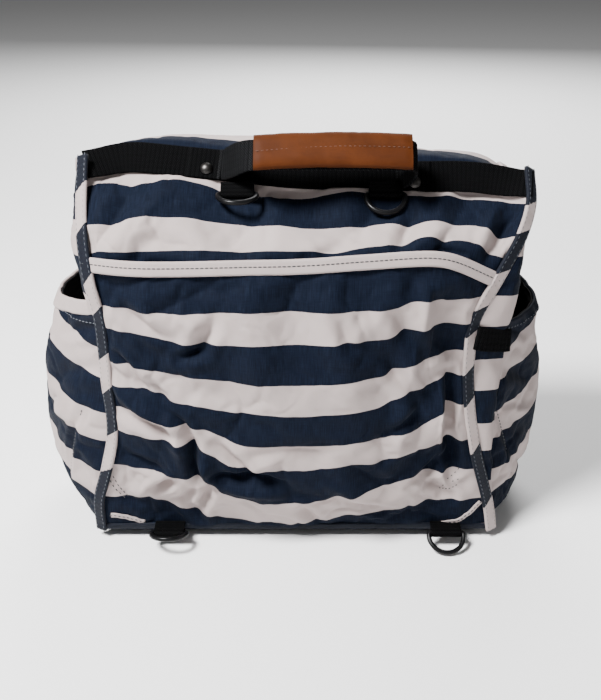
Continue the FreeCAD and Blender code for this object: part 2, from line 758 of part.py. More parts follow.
def make_rings():
    upper_strip = [
        ("0", "- eye_radius"),
        ("0.8", "- upper_bar_lift"),
        ("upper_tab_reach", "- upper_bar_lift"),
        ("upper_tab_reach", "- eye_radius + tab_thickness"),
        ("0", "- eye_radius + tab_thickness"),
    ]
    lower_strip = [
        ("0", "eye_radius - tab_thickness"),
        ("lower_bar_y - half_depth + lower_tab_low_reach", "eye_radius - tab_thickness"),
        ("lower_bar_y - half_depth + lower_tab_high_reach", "eye_radius"),
        ("0", "eye_radius"),
    ]
    side_strip = [
        ("0", "eye_radius - tab_thickness"),
        ("side_bar_x - half_width", "eye_radius - tab_thickness"),
        ("side_bar_x - half_width", "eye_radius"),
        ("0", "eye_radius"),
    ]
    for level, strip, tilt in (("upper", upper_strip, VALUE["upper_tab_slope"]), ("lower", lower_strip, 0.0)):
        for side in ("left", "right"):
            where = level + "_" + side
            point = (VALUE[where + "_ring_x"], -VALUE[level + "_bar_y"], VALUE[level + "_bar_height"])
            make_tab("ring_tab_" + where, strip, ring_seat(point, 0, tilt))
            make_ring("d_ring_" + where, ring_seat(point, 0, 180.0 - VALUE[where + "_ring_angle"]))
    for side, sign in (("left", -1.0), ("right", 1.0)):
        point = (sign * VALUE["side_bar_x"], VALUE["side_bar_y"], VALUE["side_bar_height"])
        make_tab("ring_tab_side_" + side, side_strip, ring_seat(point, 90 * sign, 0))
        make_ring("d_ring_side_" + side, ring_seat(point, 90 * sign, 180.0 - VALUE["side_ring_angle"]))


# ---------------------------------------------------------------- flap and snaps

def make_flap():
    outer = layer("flap_cloth", flap_line, "flap_fabric",
                  "- flap_half_width", "flap_half_width", FLAP_OUTWARD)
    name_node(outer, "flap_outer")
    full = layer("flap_both", flap_line, "flap_fabric + flap_lining_thickness",
                 "- flap_half_width", "flap_half_width", FLAP_OUTWARD)
    name_node(cut("flap_inner_cloth", full, outer), "flap_lining")
    edge_line = free_sketch("edge_line", PROFILE_PLANE, [
        ("- flap_rise_y", "flap_crown_height + flap_edge_overlap"),
        ("flap_crown_y", "flap_crown_height + flap_edge_overlap"),
        ("flap_fall_y + 0.4", "flap_fall_height + flap_edge_overlap"),
        ("flap_slope_y + 0.8", "flap_slope_height + flap_edge_overlap"),
        ("flap_shoulder_y + 1", "flap_shoulder_height + 0.5"),
        ("flap_front_y + 1", "flap_front_height + 0.2"),
        ("flap_front_y + 1", "flap_hem_height - flap_edge"),
    ], closed=False)
    depth = "flap_fabric + flap_lining_thickness + flap_edge_overlap + flap_edge_overlap"
    full_edge = layer("flap_edge_full", edge_line, depth, "- flap_half_width - flap_edge",
                      "flap_half_width + flap_edge", FLAP_OUTWARD)
    middle = box("flap_middle", ("- flap_half_width", "- half_depth", "flap_hem_height"),
                 ("flap_half_width", "half_depth + half_depth", "top_height + half_depth"))
    name_node(cut("flap_tape", full_edge, middle), "flap_edge_binding")


def make_snaps():
    inner_face = VALUE["flap_front_y"] - VALUE["flap_fabric"] - VALUE["flap_lining_thickness"]
    away = FreeCAD.Rotation(FreeCAD.Vector(1, 0, 0), -90)
    for side, sign in (("left", -1.0), ("right", 1.0)):
        female = doc.addObject("Part::Cylinder", "socket_" + side)
        bind(female, "Radius", "snap_female_radius")
        bind(female, "Height", "snap_female_depth")
        female.Placement = FreeCAD.Placement(
            FreeCAD.Vector(sign * VALUE["snap_x"], VALUE["half_depth"], VALUE["snap_height"]), away)
        name_node(female, "snap_socket_" + side)
        male = doc.addObject("Part::Cylinder", "stud_" + side)
        bind(male, "Radius", "snap_male_radius")
        bind(male, "Height", "flap_front_y - flap_fabric - flap_lining_thickness - half_depth"
                             " - snap_female_depth - snap_gap")
        length = inner_face - VALUE["half_depth"] - VALUE["snap_female_depth"] - VALUE["snap_gap"]
        male.Placement = FreeCAD.Placement(
            FreeCAD.Vector(sign * VALUE["snap_x"], inner_face - length, VALUE["snap_height"]), away)
        name_node(male, "snap_stud_" + side)


make_base()
make_panels()
make_bindings()
make_slip_pocket()
make_side_pockets()
make_band()
make_handle_webbing()
make_handle_wrap()
make_rings()
make_flap()
make_snaps()
doc.recompute()

# ---------------------------------------------------------------- checks and export

for thing in doc.Objects:
    for problem in ("Invalid", "Error"):
        if problem in thing.State:
            raise RuntimeError("%s is %s" % (thing.Label, thing.State))
for node in NODES:
    if node.Shape.isNull() or not node.Shape.isValid() or node.Shape.Volume <= 0:
        raise RuntimeError("bad shape: %s" % node.Label)

os.makedirs("parts", exist_ok=True)
for node in NODES:
    node.Shape.exportStep("parts/%s.step" % node.Label)
    bounds = node.Shape.BoundBox
    print("%-26s %9.1f mm3  x %7.1f %7.1f  y %7.1f %7.1f  z %7.1f %7.1f" % (
        node.Label, node.Shape.Volume, bounds.XMin, bounds.XMax, bounds.YMin, bounds.YMax,
        bounds.ZMin, bounds.ZMax))
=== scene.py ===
import json
import math

import bpy
import numpy as np
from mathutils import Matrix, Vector


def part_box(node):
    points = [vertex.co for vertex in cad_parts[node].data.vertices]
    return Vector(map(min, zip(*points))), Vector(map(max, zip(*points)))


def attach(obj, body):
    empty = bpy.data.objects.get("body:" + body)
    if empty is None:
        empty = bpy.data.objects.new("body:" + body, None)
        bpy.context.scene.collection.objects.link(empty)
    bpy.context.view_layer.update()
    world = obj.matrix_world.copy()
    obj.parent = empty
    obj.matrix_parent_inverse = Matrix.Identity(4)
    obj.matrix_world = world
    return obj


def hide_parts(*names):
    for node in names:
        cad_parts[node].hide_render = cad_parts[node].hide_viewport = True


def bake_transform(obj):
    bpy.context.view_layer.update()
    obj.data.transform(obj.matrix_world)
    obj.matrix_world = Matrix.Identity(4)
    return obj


# Striped changing bag, standing upright.  Shapes are written in millimetres in the row frame
# (+X right, -Y the back with the top handle, +Z up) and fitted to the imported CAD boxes.

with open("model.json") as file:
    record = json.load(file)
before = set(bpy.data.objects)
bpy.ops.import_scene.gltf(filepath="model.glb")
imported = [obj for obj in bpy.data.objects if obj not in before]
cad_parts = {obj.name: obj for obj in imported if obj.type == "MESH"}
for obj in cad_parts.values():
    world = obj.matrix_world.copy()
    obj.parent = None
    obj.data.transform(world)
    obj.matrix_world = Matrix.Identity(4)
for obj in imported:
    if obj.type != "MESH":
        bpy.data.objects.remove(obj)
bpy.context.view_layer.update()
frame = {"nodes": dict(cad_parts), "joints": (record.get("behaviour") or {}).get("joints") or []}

# ---------------------------------------------------------------- fitting to the CAD

NOMINAL_HALF_WIDTH = 165.0
NOMINAL_HALF_DEPTH = 78.0
NOMINAL_TOP = 311.4
CANVAS_THICKNESS = 1.2
LINING_THICKNESS = 0.6

BACK_LOW, BACK_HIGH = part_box("back_panel")
FRONT_LOW, FRONT_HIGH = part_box("front_panel")
TO_METRES = np.array([
    (BACK_HIGH.x - BACK_LOW.x) / (2.0 * NOMINAL_HALF_WIDTH),
    (FRONT_HIGH.y - BACK_LOW.y) / (2.0 * NOMINAL_HALF_DEPTH),
    BACK_HIGH.z / NOMINAL_TOP,
])


def box_in_mm(node):
    """Lowest and highest corner of a CAD node, in the millimetres used by the shapes below."""
    low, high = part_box(node)
    return np.array(low) / TO_METRES, np.array(high) / TO_METRES


# ---------------------------------------------------------------- curves and surfaces

def smooth(values, places):
    """Catmull-Rom interpolation of rows of values at fractional row numbers."""
    values = np.asarray(values, float)
    last = len(values) - 1
    places = np.clip(np.asarray(places, float), 0, last)
    row = np.minimum(places.astype(int), last - 1)
    part = (places - row).reshape((-1,) + (1,) * (values.ndim - 1))
    before = values[np.maximum(row - 1, 0)]
    start = values[row]
    end = values[row + 1]
    after = values[np.minimum(row + 2, last)]
    before = np.where((row == 0).reshape(part.shape), 2 * start - end, before)
    after = np.where((row == last - 1).reshape(part.shape), 2 * end - start, after)
    slope_in = (end - before) / 2
    slope_out = (after - start) / 2
    square, cube = part ** 2, part ** 3
    return ((2 * cube - 3 * square + 1) * start + (cube - 2 * square + part) * slope_in
            + (3 * square - 2 * cube) * end + (cube - square) * slope_out)


def curve(points, step):
    """A smooth line through points, with vertices about one step apart."""
    rough = smooth(points, np.linspace(0, len(points) - 1, 40 * len(points)))
    return respace(rough, step)


def respace(line, step):
    """The same line with evenly spaced points."""
    travelled = distance_along(line)
    count = max(int(round(travelled[-1] / step)), 1) + 1
    places = np.linspace(0, travelled[-1], count)
    return np.stack([np.interp(places, travelled, line[:, axis]) for axis in range(3)], axis=1)


def matched(line, values, count):
    """Values known at the points of a line, read off again at evenly spaced places along it."""
    travelled = distance_along(line)
    places = np.linspace(0, travelled[-1], count)
    return np.stack([np.interp(places, travelled, values[:, axis]) for axis in range(3)], axis=1)


def averaged(line, width, keep_ends=True):
    """A line with its small bends ironed out."""
    half = width // 2
    padded = np.concatenate([np.repeat(line[:1], half, axis=0), line, np.repeat(line[-1:], half, axis=0)])
    window = np.ones(width) / width
    level = np.stack([np.convolve(padded[:, axis], window, "valid") for axis in range(3)], axis=1)
    if keep_ends:
        level[0], level[-1] = line[0], line[-1]
    return level


def even_loop(line, count):
    """The same line with a given number of evenly spaced points."""
    return matched(line, line, count)


def distance_along(line):
    """How far along the line each of its points is."""
    steps = np.linalg.norm(np.diff(line, axis=0), axis=1)
    return np.concatenate([[0.0], np.cumsum(steps)])


def patch(net, rows, columns):
    """A smooth surface through a net of levels and ribs."""
    net = np.asarray(net, float)
    levels = smooth(net, np.linspace(0, len(net) - 1, rows))
    turned = smooth(levels.transpose(1, 0, 2), np.linspace(0, net.shape[1] - 1, columns))
    return turned.transpose(1, 0, 2)


def patch_places(net, rows, columns, axis):
    """The rib or level number of every vertex of a patch."""
    net = np.asarray(net, float)
    across, up = np.meshgrid(np.linspace(0, net.shape[1] - 1, columns), np.linspace(0, len(net) - 1, rows))
    return up if axis == 0 else across


def unit(vectors):
    """Vectors scaled to length one."""
    length = np.linalg.norm(vectors, axis=-1, keepdims=True)
    return vectors / np.maximum(length, 1e-9)


def grid_normals(points):
    """The direction that a surface faces at every vertex, right-handed from columns to rows."""
    across = np.gradient(points, axis=1)
    up = np.gradient(points, axis=0)
    return unit(np.cross(across, up))


def ripple(points, length, seed, count=24):
    """Smooth random waves of about one wavelength, from -1 to 1, the same at every run."""
    random = np.random.default_rng(seed)
    total = np.zeros(points.shape[:-1])
    for _ in range(count):
        direction = unit(random.normal(size=3))
        stretch = random.uniform(0.7, 1.4)
        start = random.uniform(0, 2 * math.pi)
        total += np.sin(points @ direction * (2 * math.pi / (length * stretch)) + start)
    return total / math.sqrt(count)


def crumple(points, length, seed):
    """Sharp-edged random creases about one length apart, from about -1 to 0.4."""
    total = np.zeros(points.shape[:-1])
    for number in range(5):
        wave = ripple(points, length * (1.0 + 0.35 * number), seed * 7 + number, 10)
        strength = np.clip(ripple(points, 55, seed * 11 + number, 8) + 0.1, 0, 1)
        total -= np.exp(-(np.abs(wave) / 0.16) ** 1.2) * strength
    return total + 0.3


def crease(flat, start, end, width, depth):
    """Height of one soft fold drawn as a stroke on a flat plane; a valley when the depth is negative."""
    start, end = np.array(start, float), np.array(end, float)
    along = end - start
    length = np.linalg.norm(along)
    along = along / length
    offset = flat - start
    reach = offset @ along
    side = np.abs(offset @ np.array([-along[1], along[0]]))
    share = np.clip(reach / length, 0, 1)
    fade = np.sin(math.pi * np.clip(0.08 + 0.84 * share, 0, 1)) ** 0.7
    beyond = np.maximum(np.maximum(-reach, reach - length), 0)
    near = np.sqrt(side ** 2 + beyond ** 2) / width
    return depth * fade * (np.exp(-near ** 1.5) - 0.32 * np.exp(-((near - 1.7) / 0.8) ** 2))


def folded(points, plane, strokes):
    """Push a surface along its normals by a list of fold strokes drawn on two of its axes."""
    flat = points[..., plane]
    lift = np.zeros(points.shape[:-1])
    for start, end, width, depth in strokes:
        lift += crease(flat, start, end, width, depth)
    return lift


# ---------------------------------------------------------------- meshes

def new_object(name, vertices, faces, uv=None, stripe=None, groups=None):
    """A smooth-shaded mesh object from millimetre vertices."""
    mesh = bpy.data.meshes.new(name)
    mesh.from_pydata((np.asarray(vertices, float) * TO_METRES).tolist(), [], faces)
    if uv is not None:
        layer = mesh.uv_layers.new(name="cloth")
        corners = np.zeros(len(mesh.loops), int)
        mesh.loops.foreach_get("vertex_index", corners)
        layer.data.foreach_set("uv", (np.asarray(uv, float)[corners] * 0.001).ravel())
    if stripe is not None:
        attribute = mesh.attributes.new("stripe", "FLOAT", "POINT")
        attribute.data.foreach_set("value", np.asarray(stripe, np.float32))
    if groups is not None:
        mesh.polygons.foreach_set("material_index", groups)
    mesh.polygons.foreach_set("use_smooth", [True] * len(mesh.polygons))
    mesh.update()
    thing = bpy.data.objects.new(name, mesh)
    bpy.context.scene.collection.objects.link(thing)
    return thing


def grid_faces(rows, columns, round_trip=False, start=0):
    """Quads of a grid of vertices; the last column joins the first on a round trip."""
    faces = []
    for row in range(rows - 1):
        for column in range(columns if round_trip else columns - 1):
            following = (column + 1) % columns
            first = start + row * columns
            second = first + columns
            faces.append((first + column, first + following, second + following, second + column))
    return faces


def cloth(name, points, stripe=None):
    """A mesh from a grid of points, with its cloth coordinates in true lengths."""
    rows, columns = points.shape[:2]
    across = np.linalg.norm(np.diff(points, axis=1), axis=2).mean(axis=0)
    up = np.linalg.norm(np.diff(points, axis=0), axis=2).mean(axis=1)
    u = np.tile(np.concatenate([[0.0], np.cumsum(across)]), (rows, 1))
    v = np.tile(np.concatenate([[0.0], np.cumsum(up)])[:, None], (1, columns))
    uv = np.stack([u.ravel(), v.ravel()], axis=1)
    stripe = None if stripe is None else stripe.ravel()
    return new_object(name, points.reshape(-1, 3), grid_faces(rows, columns), uv, stripe)


def thicken(thing, thickness, inward=True):
    """Give a cloth mesh its real thickness."""
    solid = thing.modifiers.new("thickness", "SOLIDIFY")
    solid.thickness = thickness * 0.001
    solid.offset = -1.0 if inward else 1.0
    solid.use_even_offset = False
    return thing


BUCKLING_PITCH = 5.0
BUCKLING_FRAMES = 18


def buckled(points, growth, cap):
    """Movement of a cloth that is cut slightly too large for its sewn edges, from a cloth simulation.

    The simulation runs on a coarse copy and its movement, held within the cap, is read back smoothly."""
    rows, columns = points.shape[:2]
    size_up = np.linalg.norm(np.diff(points, axis=0), axis=2).sum(axis=0).mean()
    size_across = np.linalg.norm(np.diff(points, axis=1), axis=2).sum(axis=1).mean()
    up, across = max(int(size_up / BUCKLING_PITCH), 6), max(int(size_across / BUCKLING_PITCH), 6)
    coarse = patch(points, up, across)
    thing = new_object("buckling", coarse.reshape(-1, 3), grid_faces(up, across))
    edge = np.ones((up, across), bool)
    edge[1:-1, 1:-1] = False
    sewn = thing.vertex_groups.new(name="sewn")
    sewn.add(np.flatnonzero(edge.ravel()).tolist(), 1.0, "REPLACE")
    cloth_step = thing.modifiers.new("cloth", "CLOTH")
    settings = cloth_step.settings
    settings.vertex_group_mass = "sewn"
    settings.effector_weights.gravity = 0.0
    # With no force of its own, the pressure only holds the cloth's volume while it buckles.
    settings.use_pressure = True
    settings.shrink_min = -growth
    settings.bending_stiffness = 0.3
    settings.quality = 6
    cloth_step.point_cache.frame_start = 1
    cloth_step.point_cache.frame_end = BUCKLING_FRAMES
    scene = bpy.context.scene
    for frame_number in range(1, BUCKLING_FRAMES + 1):
        scene.frame_set(frame_number)
    settled = thing.evaluated_get(bpy.context.evaluated_depsgraph_get())
    places = np.zeros(up * across * 3)
    settled.to_mesh().vertices.foreach_get("co", places)
    settled.to_mesh_clear()
    movement = places.reshape(up, across, 3) / TO_METRES - coarse
    scene.frame_set(1)
    bpy.data.meshes.remove(thing.data, do_unlink=True)
    facing = grid_normals(coarse)
    outward = (movement * facing).sum(axis=2, keepdims=True) * facing
    movement = outward + 0.3 * (movement - outward)
    length = np.linalg.norm(movement, axis=2, keepdims=True)
    movement = movement * np.minimum(1.0, cap / np.maximum(length, 1e-6))
    row_share = np.linspace(0, 1, rows)[:, None]
    column_share = np.linspace(0, 1, columns)[None]
    to_edge = np.minimum(np.minimum(row_share, 1 - row_share), np.minimum(column_share, 1 - column_share))
    return patch(movement, rows, columns) * np.clip(to_edge / 0.07, 0, 1)[..., None]


def flat_section(width, thickness, steps=10):
    """Rounded outline of a tape: width along the first axis, thickness along the second."""
    half, edge = width / 2.0, thickness / 2.0
    outline = [(-half + edge + (width - thickness) * step / steps, edge) for step in range(steps + 1)]
    outline += [(half - edge + edge * math.cos(angle), edge * math.sin(angle))
                for angle in (math.pi / 4, 0, -math.pi / 4)]
    outline += [(-across, -up) for across, up in outline]
    return np.array(outline)


def sweep(name, line, wide, thick, section, stripe=None):
    """Draw an outline along a line, with its two directions given at every point, and close both ends."""
    line, wide, thick = (np.asarray(each, float) for each in (line, wide, thick))
    section = np.asarray(section, float)
    if section.ndim == 2:
        section = np.tile(section, (len(line), 1, 1))
    points = line[:, None] + section[..., :1] * wide[:, None] + section[..., 1:] * thick[:, None]
    rows, columns = points.shape[:2]
    faces = grid_faces(rows, columns, True)
    faces.append(tuple(range(columns))[::-1])
    faces.append(tuple((rows - 1) * columns + column for column in range(columns)))
    along = np.tile(distance_along(line)[:, None], (1, columns))
    uv = np.stack([along.ravel(), section[..., 0].ravel()], axis=1)
    phase = None if stripe is None else stripe(along, section[..., 0]).ravel()
    return new_object(name, points.reshape(-1, 3), faces, uv, phase)


def line_frame(line, facing):
    """Side and outward directions along a line, with the outward one close to the facing given."""
    tangent = unit(np.gradient(line, axis=0))
    facing = np.broadcast_to(np.asarray(facing, float), line.shape)
    side = unit(np.cross(facing, tangent))
    return side, unit(np.cross(tangent, side))


def stitch_row(name, line, facing, material, length=2.6, gap=1.5, radius=0.34, sink=0.1):
    """Separate thread stitches along a line, lying on the side given by the facing."""
    facing = np.broadcast_to(np.asarray(facing, float), line.shape)
    count = max(int(distance_along(line)[-1] / (length + gap)), 1) + 1
    facing = matched(line, facing, count)
    line = even_loop(line, count)
    outward = line_frame(line, facing)[1]
    tangent = unit(np.gradient(line, axis=0))
    rings = np.array([(-1.0, 0.0), (-0.82, 0.75), (-0.3, 1.0), (0.3, 1.0), (0.82, 0.75), (1.0, 0.0)])
    turns = np.linspace(0, 2 * math.pi, 6, endpoint=False)
    vertices, faces = [], []
    for centre, out, forward in zip(line, outward, tangent):
        first = len(vertices)
        across = np.cross(out, forward)
        for reach, size in rings:
            for turn in turns:
                spot = (centre + forward * reach * length / 2 + across * radius * size * math.cos(turn)
                        + out * (radius * size * math.sin(turn) - sink))
                vertices.append(spot)
        faces += grid_faces(len(rings), len(turns), True, first)
    row = new_object(name, vertices, faces)
    row.data.materials.append(MATERIALS[material])
    return row


def sew(name, line, facing, material, *sizes):
    """A row of stitches on a cloth of the bag's body."""
    return dress(stitch_row(name, line, facing, material, *sizes), "bag", "bias_binding")


def dress(thing, body, slot, *nodes):
    """Let a piece ride on a body, give it the material of a slot and hide the CAD nodes that it stands for.
    """
    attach(thing, body)
    finish_piece(thing, slot, *nodes)
    return thing


def finish_piece(thing, slot, *nodes):
    """Give a piece the material of a slot, unless it has one already, and hide the CAD nodes it stands for.
    """
    if not thing.data.materials:
        thing.data.materials.append(MATERIALS[slot])
    if nodes:
        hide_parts(*nodes)
    return thing


# ---------------------------------------------------------------- materials

class Shader:
    """A small helper that builds one node material."""

    def __init__(self, name):
        self.material = bpy.data.materials.new(name)
        self.material.use_nodes = True
        self.tree = self.material.node_tree
        self.surface = self.tree.nodes["Principled BSDF"]

    def plug(self, node, socket, value):
        """Link an output, or set a plain value, on a socket given by name or number."""
        target = node.inputs[socket]
        if isinstance(value, bpy.types.NodeSocket):
            self.tree.links.new(value, target)
        elif isinstance(value, (tuple, list)) and len(value) == 3 and target.type == "RGBA":
            target.default_value = (*value, 1.0)
        else:
            target.default_value = value

    def math(self, operation, first, second=0.0, third=None):
        """One arithmetic step."""
        node = self.tree.nodes.new("ShaderNodeMath")
        node.operation = operation
        self.plug(node, 0, first)
        self.plug(node, 1, second)
        if third is not None:
            self.plug(node, 2, third)
        return node.outputs[0]

    def mix(self, factor, first, second):
        """Blend two colours."""
        node = self.tree.nodes.new("ShaderNodeMix")
        node.data_type = "RGBA"
        self.plug(node, 0, factor)
        self.plug(node, 6, first)
        self.plug(node, 7, second)
        return node.outputs[2]

    def ramp(self, value, low, high):
        """Zero below one value and one above another, smoothly in between."""
        node = self.tree.nodes.new("ShaderNodeMapRange")
        node.interpolation_type = "SMOOTHSTEP"
        self.plug(node, 0, value)
        self.plug(node, 1, low)
        self.plug(node, 2, high)
        return node.outputs[0]

    def noise(self, place, scale, detail=3.0, rough=0.55):
        """Cloudy noise at some coordinates."""
        node = self.tree.nodes.new("ShaderNodeTexNoise")
        self.plug(node, "Vector", place)
        self.plug(node, "Scale", scale)
        self.plug(node, "Detail", detail)
        self.plug(node, "Roughness", rough)
        return node.outputs[0]

    def stretched(self, place, scales):
        """Coordinates multiplied by a different scale on each axis."""
        node = self.tree.nodes.new("ShaderNodeVectorMath")
        node.operation = "MULTIPLY"
        self.plug(node, 0, place)
        self.plug(node, 1, scales)
        return node.outputs[0]

    def cloth_place(self):
        """Cloth coordinates in metres, and their two parts."""
        uv = self.tree.nodes.new("ShaderNodeUVMap")
        uv.uv_map = "cloth"
        parts = self.tree.nodes.new("ShaderNodeSeparateXYZ")
        self.plug(parts, 0, uv.outputs[0])
        return uv.outputs[0], parts.outputs[0], parts.outputs[1]

    def world_place(self):
        """Place in the object, in metres."""
        return self.tree.nodes.new("ShaderNodeTexCoord").outputs["Object"]

    def attribute(self, name):
        """A mesh attribute's value."""
        node = self.tree.nodes.new("ShaderNodeAttribute")
        node.attribute_name = name
        return node.outputs["Fac"]

    def bump(self, height, distance, strength=1.0, under=None):
        """Turn a height into a change of normal."""
        node = self.tree.nodes.new("ShaderNodeBump")
        self.plug(node, "Height", height)
        self.plug(node, "Distance", distance)
        self.plug(node, "Strength", strength)
        if under is not None:
            self.plug(node, "Normal", under)
        return node.outputs[0]

    def finish(self, **values):
        """Set or link sockets of the surface shader and return the material."""
        for key, value in values.items():
            self.plug(self.surface, key.replace("_", " "), value)
        return self.material


def weave(shader, u, v, pitch):
    """Height of a plain weave with one thread every pitch metres."""
    over = shader.math("SINE", shader.math("MULTIPLY", u, 2 * math.pi / pitch))
    under = shader.math("SINE", shader.math("MULTIPLY", v, 2 * math.pi / pitch))
    return shader.math("MULTIPLY", over, under)


def stripe_mask(shader, sharpness=70.0):
    """One on the navy stripes and zero on the white ones."""
    phase = shader.attribute("stripe")
    place = shader.cloth_place()[0]
    uneven = shader.noise(shader.stretched(place, (900.0, 40.0, 1.0)), 1.0, 1.0)
    phase = shader.math("ADD", phase, shader.math("MULTIPLY", shader.math("SUBTRACT", uneven, 0.5), 0.012))
    wave = shader.math("SINE", shader.math("MULTIPLY", phase, math.pi))
    steep = shader.math("MULTIPLY_ADD", wave, sharpness, 0.5)
    return shader.math("MINIMUM", shader.math("MAXIMUM", steep, 0.0), 1.0)


NAVY_DARK = (0.0020, 0.0034, 0.0082)
NAVY_LIGHT = (0.0068, 0.0108, 0.0225)
OFF_WHITE = (0.370, 0.312, 0.300)
OFF_WHITE_WARM = (0.275, 0.218, 0.200)


def striped_canvas():
    """Navy and off-white canvas: slub streaks on the navy, faint dirt on the white."""
    shader = Shader("striped_canvas")
    navy = stripe_mask(shader)
    place, u, v = shader.cloth_place()
    streaks = shader.noise(shader.stretched(place, (1500.0, 70.0, 1.0)), 1.0, 4.0, 0.7)
    cross_streaks = shader.noise(shader.stretched(place, (90.0, 1300.0, 1.0)), 1.0, 3.0, 0.6)
    slub = shader.ramp(shader.math("MULTIPLY_ADD", cross_streaks, 0.35, streaks), 0.50, 0.95)
    clouds = shader.noise(place, 22.0, 3.0)
    navy_colour = shader.mix(slub, NAVY_DARK, NAVY_LIGHT)
    navy_colour = shader.mix(shader.math("MULTIPLY", clouds, 0.35), navy_colour, NAVY_DARK)
    dirt = shader.ramp(shader.noise(place, 14.0, 5.0, 0.65), 0.50, 0.85)
    white_colour = shader.mix(shader.math("MULTIPLY", dirt, 0.5), OFF_WHITE, OFF_WHITE_WARM)
    white_colour = shader.mix(shader.math("MULTIPLY", shader.ramp(streaks, 0.4, 0.9), 0.12),
                              white_colour, OFF_WHITE_WARM)
    colour = shader.mix(navy, white_colour, navy_colour)
    threads = weave(shader, u, v, 0.0009)
    fine = shader.math("MULTIPLY_ADD", streaks, 0.8, threads)
    normal = shader.bump(fine, 0.00006, 0.6)
    crumple = shader.noise(shader.world_place(), 60.0, 3.0, 0.5)
    normal = shader.bump(crumple, 0.0012, 0.5, normal)
    rough = shader.math("MULTIPLY_ADD", navy, 0.12, 0.60)
    return shader.finish(Base_Color=colour, Roughness=rough, Normal=normal, Sheen_Weight=0.01,
                         Specular_IOR_Level=0.04)


def bias_binding():
    """The same cloth cut on the bias as a narrow tape."""
    shader = Shader("bias_binding")
    navy = stripe_mask(shader, 50.0)
    place, u, v = shader.cloth_place()
    streaks = shader.noise(shader.stretched(place, (700.0, 500.0, 1.0)), 1.0, 4.0, 0.7)
    slub = shader.ramp(streaks, 0.45, 0.85)
    navy_colour = shader.mix(slub, (0.0018, 0.0030, 0.0072), (0.0062, 0.0098, 0.0200))
    dirt = shader.ramp(shader.noise(place, 60.0, 4.0), 0.4, 0.8)
    white_colour = shader.mix(shader.math("MULTIPLY", dirt, 0.5), OFF_WHITE, OFF_WHITE_WARM)
    colour = shader.mix(navy, white_colour, navy_colour)
    diagonal = weave(shader, shader.math("ADD", u, v), shader.math("SUBTRACT", u, v), 0.0012)
    normal = shader.bump(diagonal, 0.00008, 0.6)
    pucker = shader.noise(shader.stretched(place, (240.0, 80.0, 1.0)), 1.0, 2.0)
    normal = shader.bump(pucker, 0.0009, 0.6, normal)
    return shader.finish(Base_Color=colour, Roughness=0.66, Normal=normal, Sheen_Weight=0.02,
                         Specular_IOR_Level=0.14)


def dark_lining():
    """Smooth black lining cloth."""
    shader = Shader("dark_lining")
    place = shader.world_place()
    cloud = shader.noise(place, 30.0, 3.0)
    colour = shader.mix(cloud, (0.0035, 0.0037, 0.0042), (0.009, 0.009, 0.010))
    normal = shader.bump(shader.noise(place, 900.0, 2.0), 0.0001, 0.5)
    return shader.finish(Base_Color=colour, Roughness=0.8, Normal=normal, Specular_IOR_Level=0.08)


def black_webbing(name, dark, light, gloss):
    """Ribbed black webbing with a herringbone weave, its rib and twill tops painted lighter as painted
    glints.
    """
    shader = Shader(name)
    place, u, v = shader.cloth_place()
    chevron = shader.math("PINGPONG", v, 0.0022)
    twill = shader.math("SINE", shader.math("MULTIPLY", shader.math("ADD", u, chevron), 2 * math.pi / 0.0017))
    ribs = shader.math("SINE", shader.math("MULTIPLY", u, 2 * math.pi / 0.0034))
    height = shader.math("MULTIPLY_ADD", ribs, 0.45, twill)
    fuzz = shader.noise(place, 1400.0, 3.0)
    # Colour runs from dark to light with random fuzz and with the rib and twill height: the lighter tops are
    # a painted highlight, glints of light painted into the colour.
    fuzz_and_rib_glint = shader.ramp(shader.math("MULTIPLY_ADD", fuzz, 0.9, height), 0.2, 1.7)
    colour = shader.mix(fuzz_and_rib_glint, dark, light)
    normal = shader.bump(height, 0.00022, 0.8)
    normal = shader.bump(fuzz, 0.0001, 0.4, normal)
    return shader.finish(Base_Color=colour, Roughness=gloss, Normal=normal, Specular_IOR_Level=0.02)


def tan_leather():
    """Smooth saddle-brown leather with a fine grain and handled, darker patches."""
    shader = Shader("tan_leather")
    place = shader.world_place()
    grain = shader.tree.nodes.new("ShaderNodeTexVoronoi")
    shader.plug(grain, "Vector", place)
    shader.plug(grain, "Scale", 1300.0)
    cloud = shader.noise(place, 45.0, 4.0, 0.6)
    streak = shader.noise(shader.stretched(place, (60.0, 400.0, 400.0)), 1.0, 3.0)
    colour = shader.mix(shader.ramp(cloud, 0.3, 0.75), (0.043, 0.0108, 0.0020), (0.061, 0.0160, 0.0032))
    darker = shader.math("MULTIPLY", shader.ramp(streak, 0.5, 0.9), 0.3)
    colour = shader.mix(darker, colour, (0.028, 0.0066, 0.0014))
    normal = shader.bump(grain.outputs["Distance"], 0.00006, 0.5)
    normal = shader.bump(cloud, 0.0009, 0.4, normal)
    rough = shader.math("MULTIPLY_ADD", cloud, 0.18, 0.50)
    return shader.finish(Base_Color=colour, Roughness=rough, Normal=normal, Specular_IOR_Level=0.07)


def raw_leather():
    """Pale cut edge of the leather."""
    shader = Shader("raw_leather")
    place = shader.world_place()
    colour = shader.mix(shader.noise(place, 700.0, 3.0), (0.24, 0.15, 0.10), (0.42, 0.32, 0.25))
    normal = shader.bump(shader.noise(place, 1500.0, 2.0), 0.0002, 0.6)
    return shader.finish(Base_Color=colour, Roughness=0.85, Normal=normal)


def thread(name, dark, light):
    """Twisted sewing thread."""
    shader = Shader(name)
    place = shader.world_place()
    colour = shader.mix(shader.noise(place, 900.0, 2.0), dark, light)
    return shader.finish(Base_Color=colour, Roughness=0.6, Sheen_Weight=0.15)


def metal(name, colour, rough, scratch, metallic=1.0):
    """Coated or bare metal with faint handling marks."""
    shader = Shader(name)
    place = shader.world_place()
    marks = shader.noise(shader.stretched(place, (400.0, 900.0, 400.0)), 1.0, 4.0, 0.7)
    gloss = shader.math("MULTIPLY_ADD", marks, scratch, rough)
    normal = shader.bump(shader.noise(place, 260.0, 2.0), 0.0002, 0.25)
    return shader.finish(Base_Color=colour, Metallic=metallic, Roughness=gloss, Normal=normal,
                         Specular_IOR_Level=0.13)


